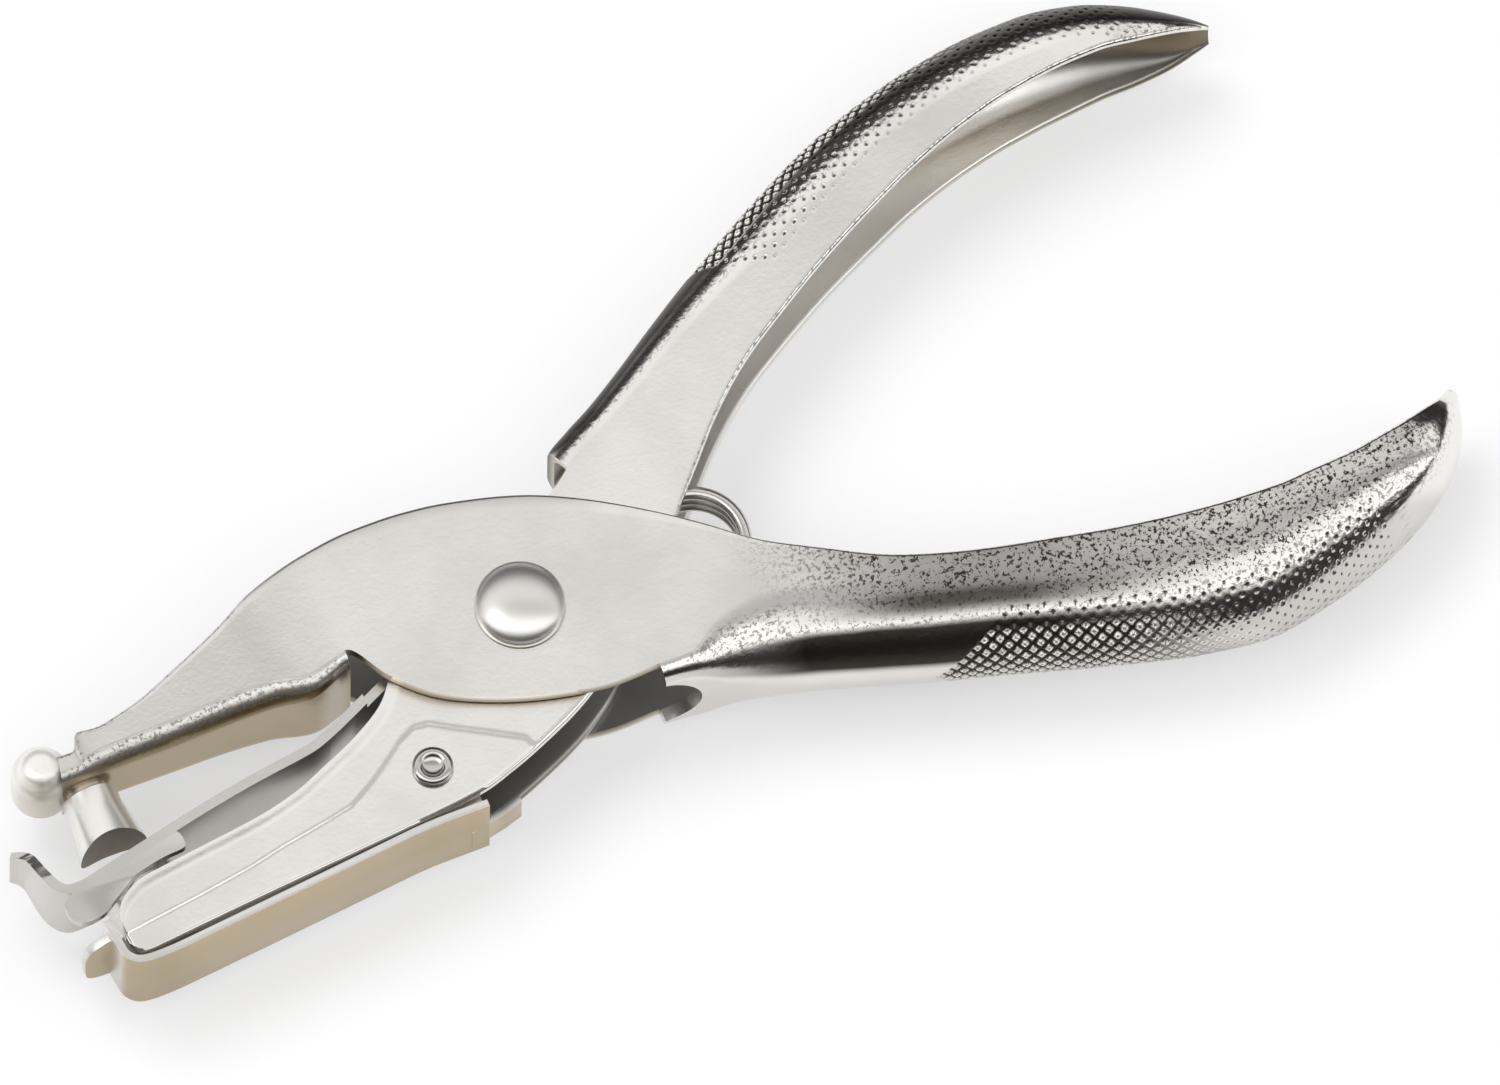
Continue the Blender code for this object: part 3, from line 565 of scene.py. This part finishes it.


def nickel(name, colour, roughness, pits=1.0, grain=1.0, side_shade_base=0.15, metal=1.0):
    """Nickel plate: soft orange peel, pits that gather where the sheet is bent, painted shade and
    painted highlights where the mesh is marked, and a painted yellowish shade on the faces that look to
    the near side."""
    material = bpy.data.materials.new(name)
    material.use_nodes = True
    nodes, wires = material.node_tree.nodes, material.node_tree.links
    shader = nodes["Principled BSDF"]
    place = nodes.new("ShaderNodeTexCoord")

    def mark(kind):
        """One of the marks that lever_mesh stores on its points, and 0 on any other mesh."""
        node = nodes.new("ShaderNodeAttribute")
        node.attribute_name = kind
        return node.outputs["Fac"]

    def noise(scale, detail, rough=0.55):
        node = nodes.new("ShaderNodeTexNoise")
        node.inputs["Scale"].default_value = scale
        node.inputs["Detail"].default_value = detail
        node.inputs["Roughness"].default_value = rough
        wires.new(place.outputs["Object"], node.inputs["Vector"])
        return node.outputs["Fac"]

    def combined(operation, first, second, clamp=False):
        node = nodes.new("ShaderNodeMath")
        node.operation = operation
        node.use_clamp = clamp
        for socket, value in zip(node.inputs, (first, second)):
            if isinstance(value, (int, float)):
                socket.default_value = value
            else:
                wires.new(value, socket)
        return node.outputs[0]

    def times(first, second, clamp=False):
        return combined("MULTIPLY", first, second, clamp)

    def plus(first, second, clamp=False):
        return combined("ADD", first, second, clamp)

    def spread(value, low, high, out_low=0.0, out_high=1.0):
        """Smooth step from out_low to out_high as the value goes from low to high."""
        node = nodes.new("ShaderNodeMapRange")
        node.interpolation_type = "SMOOTHSTEP"
        node.inputs["From Min"].default_value = low
        node.inputs["From Max"].default_value = high
        node.inputs["To Min"].default_value = out_low
        node.inputs["To Max"].default_value = out_high
        wires.new(value, node.inputs["Value"])
        return node.outputs["Result"]

    def tinted(base, over, factor, blend="MIX"):
        node = nodes.new("ShaderNodeMix")
        node.data_type = "RGBA"
        node.blend_type = blend
        if isinstance(base, tuple):
            node.inputs["A"].default_value = (*base, 1)
        else:
            wires.new(base, node.inputs["A"])
        node.inputs["B"].default_value = (*over, 1)
        wires.new(factor, node.inputs["Factor"])
        return node.outputs["Result"]

    bent, pad = mark("bend"), mark("pad")
    fine, coarse, cloud = noise(2600, 3), noise(900, 3), noise(45, 4)
    speck = noise(2700, 3, 0.7)

    # Painted yellowish shade on faces that look to the near side, standing in for the shaded table they
    # reflect.
    facing = nodes.new("ShaderNodeVectorMath")
    facing.operation = "DOT_PRODUCT"
    facing.inputs[1].default_value = SHADED_FACING
    wires.new(place.outputs["Normal"], facing.inputs[0])
    side_shade = times(spread(facing.outputs["Value"], 0.3, 0.9), plus(mark("tan"), side_shade_base, True), True)
    side_shade_colour = tuple(channel * left for channel, left in zip(colour, SIDE_SHADE_TINT))
    # Pits where the sheet is bent, joined with the painted shade of the dot mark.
    pits_and_shade = times(spread(speck, 0.5, 0.59), times(bent, pits), True)
    pits_and_shade = combined("MAXIMUM", pits_and_shade, mark("dot"), True)
    wear = spread(cloud, 0.35, 0.75, 0.02, 0.16)
    base = tinted(colour, side_shade_colour, side_shade)
    base = tinted(base, DARK_PITS_AND_SHADE, plus(pits_and_shade, wear, True), "MULTIPLY")
    # Painted highlight: pale, barely metallic colour on the knurl's pads and the jaw's lip.
    base = tinted(base, PAD_HIGHLIGHT, times(pad, 0.7))
    wires.new(base, shader.inputs["Base Color"])
    wires.new(spread(pad, 0.0, 1.0, metal, 0.1), shader.inputs["Metallic"])

    rough = spread(cloud, 0.3, 0.7, roughness * 0.85, roughness * 1.2)
    rough = times(rough, spread(mark("polish"), 0.0, 1.0, 1.0, 0.5))
    wires.new(plus(rough, times(pits_and_shade, 0.25), True), shader.inputs["Roughness"])

    bump = nodes.new("ShaderNodeBump")
    bump.inputs["Strength"].default_value = 0.5 * grain
    bump.inputs["Distance"].default_value = 0.00006
    peel = times(coarse, plus(times(bent, 2.2), 0.35))
    wires.new(plus(times(fine, 0.35), peel), bump.inputs["Height"])
    wires.new(bump.outputs["Normal"], shader.inputs["Normal"])
    return material


satin_outer = nickel("satin_outer", NICKEL, 0.24)
satin_inner = nickel("satin_inner", (0.94, 0.925, 0.9), 0.26)
nose_nickel = nickel("nose_nickel", (0.97, 0.955, 0.92), 0.38, grain=2.5, side_shade_base=0.4, metal=0.65)
dull_tray = nickel("dull_nickel", NICKEL, 0.34, side_shade_base=1.0)
dull_guide = nickel("guide_nickel", (0.7, 0.69, 0.665), 0.28, side_shade_base=0.2)
polished = nickel("polished_nickel", (0.9, 0.885, 0.86), 0.36, 0.3, 0.5)
ground = nickel("ground_steel", (0.86, 0.845, 0.81), 0.22, 0.3, 0.6, metal=0.7)
hollow_end = nickel("hollow_end", (0.2, 0.165, 0.125), 0.4)
rivet_nickel = nickel("rivet_nickel", (0.62, 0.61, 0.59), 0.24, 0.3, 0.5)
wire_steel = nickel("wire_steel", (0.72, 0.71, 0.69), 0.22, 0.2, 0.4)


# ---------------------------------------------------------------- the two levers
def knurled(grid, places, knurl):
    """Height, painted shade and dirt, and painted pad highlights of a lever's knurl, and where it
    covers the face.
    """
    around, distance = round_back(grid), along_back(grid)
    place, reach = places[:, None], np.abs(around)
    start = np.interp(knurl["start"], places, distance[:, 0])
    started = ramp(distance - start - knurl["lean"] * reach, -0.2, 0.3)
    whole = started * fade(place, *knurl["end"]) * fade(reach, *knurl["width"])
    cut = whole * (1 - 0.9 * ramp(place, *knurl["cut_end"])) * fade(reach, *knurl["cut_width"])
    groove, dimple, pad = diamonds(distance, around)
    height = -KNURL_DEPTH * (cut * groove + 0.6 * whole * dimple)
    # Painted shade, with some dirt, in the knurl's grooves and dimples.
    dot = np.maximum(cut * groove, whole * dimple * (0.95 - 0.2 * cut))
    return height, dot, cut * pad, whole


def punch_relief(grid, normal, places):
    height, dot, pad, whole = knurled(grid, places, PUNCH_KNURL)
    place, around = places[:, None], round_back(grid)
    reach = np.abs(around)
    level, near = np.abs(normal[..., 2]), facing_near(normal)
    jaw = fade(place, 7.0, 9.0)
    handle = ramp(place, 12.5, 16.0) * fade(place, 28.5, 31.0)
    fading = 1 - 0.8 * ramp(place, 21.0, 25.0)

    # Painted shade on the handle's cheek, on its bend and along its flank, and a painted shadow line
    # along the edge of the round cheek.
    cheek_shade = 0.42 * ramp(level, 0.88, 0.95) * ramp(place, 18.0, 20.5)
    bend_shade = 0.42 * ramp(level, 0.86, 0.94) * fade(level, 0.965, 0.999) * ramp(place, 16.5, 19.5)
    dot = np.maximum(dot, (cheek_shade + bend_shade) * fading * handle)
    flank = ramp(near, 0.46, 0.57) * fade(near, 0.88, 0.96) * handle * fading
    flank = flank * (0.3 + 0.7 * ramp(place, 15.5, 18.5))
    dot = np.maximum(dot, 0.97 * flank * (1 - pad))
    from_edge = np.abs(around[:, [0]]) - reach
    rim = ramp(from_edge, 0.1, 0.3) * fade(from_edge, 0.55, 0.9)
    dot = np.maximum(dot, 0.8 * rim * ramp(place, 6.0, 7.5) * fade(place, 13.5, 14.5))

    bend = ramp(level, 0.35, 0.8) * fade(level, 0.975, 0.995) * np.maximum(handle, 1.5 * jaw)
    # Pits spread over the shoulder speckle a painted dark band.
    shoulder = ramp(level, 0.86, 0.95) * handle * ramp(place, 17.0, 20.0)
    bend = np.maximum(0.55 * bend, 0.95 * shoulder) * (1 - whole * fade(reach, 5.0, 6.5))
    # Painted shade and a painted highlight along the jaw's lip.
    lip = jaw * ramp(level, 0.4, 0.75) * fade(level, 0.975, 0.995)
    return height, {
        "bend": bend,
        "dot": np.maximum(dot, 0.3 * lip),
        # painted yellowish shade at the upper jaw
        "tan": 0.9 * fade(place, 9.0, 11.0),
        "pad": np.maximum(pad, 0.25 * lip),
        "polish": ramp(place, 12.0, 14.0) * fade(level, 0.93, 0.995),
    }


def die_relief(grid, normal, places):
    height, dot, pad, whole = knurled(grid, places, DIE_KNURL)
    place, around = places[:, None], round_back(grid)
    reach = np.abs(around)
    level = np.abs(normal[..., 2])

    # The pressed panel of the near cheek, and the border rolled in along the jaw's top and front.
    side = from_border(grid[..., :2], PANEL_BORDER)
    near_cheek = ramp(grid[..., 2], 4.0, 4.6)
    height = height - PANEL_DEPTH * near_cheek * fade(place, 12.5, 13.5) * ramp(-side, -0.15, 0.15)
    cheek_start = DIE_COUNTS["cheek"] + DIE_COUNTS["edge"]
    from_top = reach - reach[:, [cheek_start]]
    roll = np.maximum(fade(from_top, 0.0, ROLL_WIDTH), fade(along_back(grid), 0.0, ROLL_WIDTH))
    height = height - ROLL_DEPTH * roll * fade(place, 10.5, 12.5)

    # Painted dark band on the side of the upper handle that faces away from the near side.
    flank = ramp(-facing_near(normal), 0.22, 0.42) * ramp(place, 13.0, 15.0)
    handle = ramp(place, 17.0, 19.0)
    bend = ramp(level, 0.2, 0.75) * fade(level, 0.96, 0.99) * handle * 0.55
    return height, {
        "bend": bend * (1 - whole * fade(reach, 4.6, 6.0)),
        "dot": np.maximum(dot, 0.95 * flank * (1 - pad)),
        # painted yellowish shade at the lower jaw
        "tan": 0.3 * fade(place, 17.0, 18.0),
        "pad": pad,
        "polish": handle * fade(level, 0.93, 0.995),
    }


def at(x, y, z=0.0):
    """Matrix that moves the origin to this point, in mm."""
    return Matrix.Translation((x * MM, y * MM, z * MM))


def cylinder(radius, low, high, matrix, segments=96):
    profile = [(0, low), (radius, low), (radius, high), (0, high)]
    return turned("cylinder", profile, matrix, segments)


def upright(radius, centre=(0, 0)):
    """Cutter for a bore through the whole tool."""
    return cylinder(radius, -3, 19, at(*centre), 64)


def make_punch_lever():
    mesh = lever_mesh(
        "punch_lever_sheet", PUNCH_STATIONS, PUNCH_SHEET,
        lambda gap: gap < PUNCH_JAW_WEB_END or gap >= PUNCH_HANDLE_WEB_START,
        row_places(PUNCH_STATIONS, 0.5, 0.14, 16, 27), PUNCH_COUNTS, punch_relief,
    )
    sheet = add("punch_lever_sheet", mesh, PUNCH, "punch_lever")
    sheet.data.materials.append(satin_outer)
    return sheet


def make_die_lever():
    mesh = lever_mesh(
        "die_lever_sheet", DIE_STATIONS, DIE_SHEET,
        lambda gap: gap >= DIE_HANDLE_WEB_START,
        row_places(DIE_STATIONS, 0.25, 0.14, 22, 32), DIE_COUNTS, die_relief,
    )
    sheet = add("die_lever_sheet", mesh, DIE, "die_lever")
    sheet.data.materials.append(satin_inner)
    return sheet


def bore_levers(punch_sheet, die_sheet):
    combine(punch_sheet, upright(PIVOT_RADIUS + RUNNING_GAP), "DIFFERENCE", "MANIFOLD")
    notch_place = at(*BACK_NOTCH_CENTRE, Z_MID) @ Matrix.Rotation(math.radians(90), 4, "X")
    combine(punch_sheet, cylinder(BACK_NOTCH_RADIUS, -3, 3, notch_place), "DIFFERENCE", "MANIFOLD")
    combine(die_sheet, upright(PIVOT_RADIUS + RUNNING_GAP), "DIFFERENCE", "MANIFOLD")
    combine(die_sheet, upright(TRAY_PIVOT_RADIUS + RUNNING_GAP, TRAY_PIVOT), "DIFFERENCE", "MANIFOLD")
    smooth(punch_sheet, 60)
    smooth(die_sheet, 60)


def make_nose():
    """Rolled nose in front of the upper jaw."""
    profile = rounded_line(NOSE_PROFILE, 5)
    profile += [(radius, -height) for radius, height in reversed(profile[:-1])]
    nose = add("nose_roll", turned("nose_roll", profile, at(*NOSE_CENTRE, Z_MID)), PUNCH)
    nose.data.materials.append(nose_nickel)
    smooth(nose)


# ---------------------------------------------------------------- pin and die
def make_pin():
    """The punch, which leans a little and has a hollow ground across its end."""
    place = at(*PIN_TOP, Z_MID) @ Matrix.Rotation(math.radians(90), 4, "X")
    place = place @ Matrix.Rotation(-math.radians(PIN_LEAN), 4, "Y")
    profile = [
        (0.0, -PIN_SHANK_LENGTH), (PIN_SHANK_RADIUS - 0.1, -PIN_SHANK_LENGTH),
        (PIN_SHANK_RADIUS, 0.1 - PIN_SHANK_LENGTH), (PIN_SHANK_RADIUS, 0.15),
        (PIN_NECK_RADIUS - 0.1, 0.15), (PIN_NECK_RADIUS, 0.25), (PIN_NECK_RADIUS, 1.6),
        (PIN_NECK_RADIUS + 0.08, 2.2), (PIN_TIP_RADIUS - 0.12, PIN_LENGTH - 1.0),
        (PIN_TIP_RADIUS, PIN_LENGTH - 0.5), (PIN_TIP_RADIUS, PIN_LENGTH), (0.0, PIN_LENGTH),
    ]
    pin = add("pin", turned("pin", profile, place, 128), PUNCH, "punch_pin")
    rise = PIN_HOLLOW_RADIUS - math.sqrt(PIN_HOLLOW_RADIUS**2 - PIN_TIP_RADIUS**2)
    centre = place @ Vector((0, 0, (PIN_LENGTH + PIN_HOLLOW_RADIUS - rise) * MM))
    hollow_place = Matrix.Translation((centre.x, centre.y, 0))
    combine(pin, cylinder(PIN_HOLLOW_RADIUS, 1, 14, hollow_place, 160), "DIFFERENCE")
    pin.data.materials.clear()
    pin.data.materials.append(ground)
    pin.data.materials.append(hollow_end)
    axis = (place.to_3x3() @ Vector((0, 0, 1))).normalized()
    for face in pin.data.polygons:
        along = (face.center - place.translation).dot(axis) / MM
        if along > PIN_LENGTH - 1.4 and face.normal.dot(axis) > 0.5:
            face.material_index = 1
    smooth(pin)


def die_hole_place():
    place = at(*DIE_HOLE_CENTRE, Z_MID) @ Matrix.Rotation(math.radians(90), 4, "X")
    return place @ Matrix.Rotation(math.radians(DIE_HOLE_SLOPE), 4, "Y")


def make_die():
    inner, outer = DIE_HOLE_RADIUS, DIE_OUTER_RADIUS
    profile = [
        (inner, 1.2), (inner + 0.1, 1.1), (outer, 1.1), (outer, 5.3), (outer - 0.1, 5.4), (inner, 5.4),
    ]
    mesh = turned("die_ring", profile, die_hole_place(), 96, True)
    ring = add("die_ring", mesh, DIE, "die_bushing")
    ring.data.materials.append(ground)
    smooth(ring)


# ---------------------------------------------------------------- paper guide
def guide_corner(sign):
    """Cutter that rounds one corner of the curled lip, drawn across the tool in Z and Y."""
    curve = [
        (0.0, 1.95), (1.3, 1.75), (2.1, 1.25), (2.8, 0.5), (3.5, -0.4), (4.2, -1.8), (4.6, -3.0),
        (4.8, -3.8),
    ]
    corner = rounded_line(curve, 4) + [(6.0, -3.8), (6.0, 3.0), (0.0, 3.0)]
    mesh = prism("corner", [(Z_MID + sign * z, y) for z, y in corner], -53.0, -46.9)
    swap_x_and_z = Matrix(((0, 0, 1, 0), (0, 1, 0, 0), (1, 0, 0, 0), (0, 0, 0, 1)))
    mesh.transform(swap_x_and_z)
    mesh.flip_normals()
    return mesh


def make_guide():
    low, high = Z_MID - GUIDE_HALF_WIDTH, Z_MID + GUIDE_HALF_WIDTH
    strip = band(rounded_line(GUIDE_LINE, 4), GUIDE_SHEET, 1)
    guide = add("guide_strip", prism("guide_strip", strip, low, high), None)
    outline = rounded_line(FLANGE_OUTLINE + FLANGE_OUTLINE[:1], 4)[:-1]
    combine(guide, prism("flange", outline, high - GUIDE_SHEET, high), "UNION")
    beside_tongue = [(-16, -3.5), (-5, -3.5), (-5, 5), (-16, 5)]
    for sign in (-1, 1):
        ends = sorted((Z_MID + sign * GUIDE_TONGUE_HALF_WIDTH, Z_MID + sign * (GUIDE_HALF_WIDTH + 1)))
        combine(guide, prism("notch", beside_tongue, *ends), "DIFFERENCE")
        combine(guide, guide_corner(sign), "DIFFERENCE")
    combine(guide, cylinder(DIE_HOLE_RADIUS, -9, 9, die_hole_place()), "DIFFERENCE")
    soften(guide, 0.18)
    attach(guide, DIE)
    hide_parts("paper_guide")
    guide.data.materials.clear()
    guide.data.materials.append(dull_guide)
    smooth(guide)


# ---------------------------------------------------------------- chad tray
def ear_outline():
    """The tray's ear: round over its pivot, and down to the bottom plate."""
    around = np.radians(np.linspace(-10, 190, 25))
    arc = [tuple(TRAY_PIVOT + TRAY_EAR_RADIUS * np.array((math.cos(a), math.sin(a)))) for a in around]
    return arc + [(-17.5, -12.6), (-18.5, -14.2), (-11.2, -14.75), (-10.9, -12.6)]


def make_tray():
    low, high = Z_MID - DIE_HALF_WIDTH, Z_MID + DIE_HALF_WIDTH
    plate = band(rounded_line(TRAY_LINE, 3), TRAY_SHEET, -1)
    tray = add("tray_plate", prism("tray_plate", plate, low, high), None)
    ear_face = DIE_HALF_WIDTH - DIE_SHEET - SIDE_GAP
    for sign in (-1, 1):
        ends = sorted((sign * ear_face, sign * (ear_face - TRAY_EAR_SHEET)))
        combine(tray, prism("ear", ear_outline(), Z_MID + ends[0], Z_MID + ends[1]), "UNION")
    front_tab = [
        (-45.9, 10.7), (-47.2, 10.3), (-48.2, 9.6), (-48.8, 8.6), (-48.9, 7.4), (-48.8, 4.8),
        (-48.2, 3.8), (-47.0, 3.2), (-45.9, 2.9),
    ]
    tab = prism("tab", rounded_line(front_tab, 3), 9.9, 10.7)
    tab.transform(Matrix.Rotation(math.radians(90), 4, "X"))
    combine(tray, tab, "UNION")
    tail = [
        (-12.6, -15.15), (-9.0, -14.75), (-7.3, -14.4), (-7.2, -13.75), (-9.0, -14.05), (-12.6, -14.45),
    ]
    combine(tray, prism("tail", tail, low + 1.05, low + 4.6), "UNION")
    combine(tray, upright(TRAY_PIVOT_RADIUS + RUNNING_GAP, TRAY_PIVOT), "DIFFERENCE")
    soften(tray, 0.16)
    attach(tray, TRAY)
    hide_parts("chad_tray")
    tray.data.materials.clear()
    tray.data.materials.append(dull_tray)
    smooth(tray)


# ---------------------------------------------------------------- rivets
def make_pivot_rivet():
    """Main rivet from its flat tail at the bottom to its domed head, standing on z = 0."""
    radius = PIVOT_HEAD_RADIUS
    tail_top = Z_MID - PUNCH_HALF_WIDTH - SIDE_GAP
    foot = Z_MID + PUNCH_HALF_WIDTH + SIDE_GAP
    shoulder = foot + 0.25
    profile = [
        (0, 0), (radius - 0.3, 0), (radius - 0.08, 0.1), (radius, 0.3), (radius, tail_top),
        (PIVOT_RADIUS, tail_top), (PIVOT_RADIUS, foot), (radius - 0.12, foot), (radius, foot + 0.12),
        (radius, shoulder),
    ]
    for step in range(1, PIVOT_DOME_STEPS):
        angle = math.radians(90 * step / PIVOT_DOME_STEPS)
        rise = PIVOT_DOME_HEIGHT * math.sin(angle)
        profile.append((radius * math.cos(angle), shoulder + rise))
    profile.append((0, shoulder + PIVOT_DOME_HEIGHT))
    mesh = turned("pivot_rivet_head", profile, Matrix(), 128)
    rivet = add("pivot_rivet_head", mesh, PUNCH, "pivot_rivet")
    rivet.data.materials.append(polished)
    smooth(rivet)


def make_tray_rivet():
    """Small hollow rivet with a rolled, dished head on each side."""
    face = DIE_HALF_WIDTH + SIDE_GAP
    dished_head = [
        (1.75, 0.0), (1.85, 0.1), (1.8, 0.28), (1.6, 0.48), (1.35, 0.58), (1.1, 0.5), (0.95, 0.34),
        (0.8, 0.2), (0.45, 0.12), (0.0, 0.1),
    ]
    half = [(TRAY_PIVOT_RADIUS, 0), (TRAY_PIVOT_RADIUS, face)]
    half += [(radius, face + rise) for radius, rise in dished_head]
    profile = half[::-1] + [(radius, -height) for radius, height in half[1:]]
    mesh = turned("hollow_rivet", profile, at(*TRAY_PIVOT, Z_MID), 64)
    rivet = add("hollow_rivet", mesh, DIE, "tray_rivet")
    rivet.data.materials.append(rivet_nickel)
    smooth(rivet)


# ---------------------------------------------------------------- torsion spring
def spring_path():
    """The upper leg from its free end, the coil, and the lower leg, as X, Y and height over Z_MID."""
    start = math.radians(SPRING_START_ANGLE)
    stop = math.radians(SPRING_START_ANGLE + 360 * SPRING_TURNS - SPRING_LAST_GAP)
    climb = SPRING_PITCH * SPRING_TURNS
    steps = SPRING_STEPS * SPRING_TURNS
    path = [(31.5, 21.6, -1.2), (24.0, 16.6, -1.4), (18.5, 11.0, -1.7), (15.5, 6.0, -1.9)]
    for step in range(steps + 1):
        angle = start + (stop - start) * step / steps
        x = SPRING_CENTRE[0] + SPRING_RADIUS * math.cos(angle)
        y = SPRING_CENTRE[1] + SPRING_RADIUS * math.sin(angle)
        path.append((x, y, climb * (step / steps - 0.5)))
    return path + [(13.2, -4.6, 1.95), (15.6, -8.5, 1.9), (20.5, -13.2, 1.7), (29.0, -18.0, 1.5)]


def make_spring():
    path = spring_path()
    curve = bpy.data.curves.new("spring_wire", "CURVE")
    curve.dimensions = "3D"
    curve.bevel_depth = SPRING_WIRE * MM
    curve.bevel_resolution = 4
    curve.use_fill_caps = True
    spline = curve.splines.new("POLY")
    spline.points.add(len(path) - 1)
    for point, (x, y, z) in zip(spline.points, path):
        point.co = (x * MM, y * MM, (Z_MID + z) * MM, 1)
    line = bpy.data.objects.new("spring_line", curve)
    bpy.context.scene.collection.objects.link(line)
    bpy.context.view_layer.update()
    wire = bpy.data.meshes.new_from_object(line.evaluated_get(bpy.context.evaluated_depsgraph_get()))
    bpy.data.objects.remove(line)
    bm = bmesh.new()
    bm.from_mesh(wire)
    bmesh.ops.remove_doubles(bm, verts=bm.verts, dist=1e-7)
    spring = add("spring_wire", mesh_from(bm, "spring_wire"), None)
    spring.data.materials.append(wire_steel)
    smooth(spring)
    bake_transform(spring)
    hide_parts("return_spring")


# ---------------------------------------------------------------- table, light and camera
def make_table():
    """Pale table that glows a little, so that its shadows stay light."""
    side = 900
    corners = [(-side, -side), (side, -side), (side, side), (-side, side)]
    table = bpy.data.objects.new("table", prism("table", corners, -6, -0.02))
    bpy.context.scene.collection.objects.link(table)
    paper = bpy.data.materials.new("white_table")
    paper.use_nodes = True
    shader = paper.node_tree.nodes["Principled BSDF"]
    shader.inputs["Base Color"].default_value = (0.375, 0.375, 0.382, 1)
    shader.inputs["Emission Color"].default_value = (1, 1, 1, 1)
    shader.inputs["Emission Strength"].default_value = 0.5
    shader.inputs["Roughness"].default_value = 0.9
    shader.inputs["Specular IOR Level"].default_value = 0.1
    table.data.materials.append(paper)


# The camera's view, in metres: where it aims, over the pivot and then along its own right and up.
VIEW_WIDTH = 0.13274
AIM_HEIGHT = 0.01325
AIM_RIGHT = 0.02035
AIM_UP = 0.00562
CAMERA_DISTANCE = 0.5

# Brightness of the studio by angle from overhead, from the far side (-90) to the near side (+90).
STUDIO = [
    (-90, 0.12), (-75, 0.03), (-54, 0.03), (-44, 0.98), (-22, 0.97), (-13, 0.5), (2, 0.42), (10, 1.4),
    (38, 1.4), (52, 0.03), (84, 0.02), (90, 0.15),
]


def make_studio():
    """Surroundings whose brightness runs in bands from the far side, over the top, to the near side."""
    world = bpy.data.worlds.new("studio")
    bpy.context.scene.world = world
    world.use_nodes = True
    nodes, wires = world.node_tree.nodes, world.node_tree.links
    sky = nodes["Background"]
    direction = nodes.new("ShaderNodeTexCoord")
    toward = nodes.new("ShaderNodeVectorMath")
    toward.operation = "DOT_PRODUCT"
    toward.inputs[1].default_value = (*NEAR_SIDE, 0.0)
    split = nodes.new("ShaderNodeSeparateXYZ")
    wires.new(direction.outputs["Generated"], toward.inputs[0])
    wires.new(direction.outputs["Generated"], split.inputs[0])
    turn = nodes.new("ShaderNodeMath")
    turn.operation = "ARCTAN2"
    wires.new(toward.outputs["Value"], turn.inputs[0])
    wires.new(split.outputs["Z"], turn.inputs[1])
    share = nodes.new("ShaderNodeMapRange")
    share.inputs["From Min"].default_value = -math.pi / 2
    share.inputs["From Max"].default_value = math.pi / 2
    wires.new(turn.outputs[0], share.inputs["Value"])
    bands = nodes.new("ShaderNodeValToRGB")
    stops = bands.color_ramp.elements
    while len(stops) < len(STUDIO):
        stops.new(0.5)
    for stop, (angle, brightness) in zip(stops, STUDIO):
        stop.position = (angle + 90) / 180
        stop.color = (brightness, brightness * 0.99, brightness * 0.97, 1)
    wires.new(share.outputs["Result"], bands.inputs["Fac"])
    wires.new(bands.outputs["Color"], sky.inputs["Color"])
    sky.inputs["Strength"].default_value = 1.0


def soft_light(name, source, energy, spread_angle, in_reflections):
    data = bpy.data.lights.new(name, "SUN")
    data.energy = energy
    data.angle = math.radians(spread_angle)
    light = bpy.data.objects.new(name, data)
    bpy.context.scene.collection.objects.link(light)
    light.rotation_mode = "QUATERNION"
    light.rotation_quaternion = source.normalized().to_track_quat("Z", "Y")
    light.visible_glossy = in_reflections


def camera_axes():
    """The camera's right, up and back directions."""
    right = Vector((0.887, -0.4617, 0.003)).normalized()
    up = Vector((0.428, 0.822, 0.372))
    up = (up - right * up.dot(right)).normalized()
    return right, up, right.cross(up)


def make_lights():
    """A key and a glint placed from where the camera is, and a wide fill from overhead."""
    right, up, back = camera_axes()
    soft_light("key_softbox", back - right * 0.45 + up * 0.95, 1.05, 30, False)
    soft_light("side_glint", back - right * 0.8 + up * 0.2, 0.3, 34, True)
    soft_light("overhead_fill", Vector((0, 0, 1)), 1.0, 140, False)


def make_camera():
    right, up, back = camera_axes()
    camera_data = bpy.data.cameras.new("camera")
    camera_data.type = "ORTHO"
    camera_data.ortho_scale = VIEW_WIDTH
    camera_data.clip_start, camera_data.clip_end = 0.01, 5
    camera = bpy.data.objects.new("camera", camera_data)
    bpy.context.scene.collection.objects.link(camera)
    aim = Vector((0, 0, AIM_HEIGHT)) + right * AIM_RIGHT + up * AIM_UP
    axes = Matrix((right, up, back)).transposed().to_4x4()
    camera.matrix_world = Matrix.Translation(aim + back * CAMERA_DISTANCE) @ axes
    bpy.context.scene.camera = camera
    bpy.context.scene.view_settings.view_transform = "Standard"


bore_levers(make_punch_lever(), make_die_lever())
make_nose()
make_pin()
make_die()
make_guide()
make_tray()
make_pivot_rivet()
make_tray_rivet()
make_spring()
make_table()
make_studio()
make_lights()
make_camera()
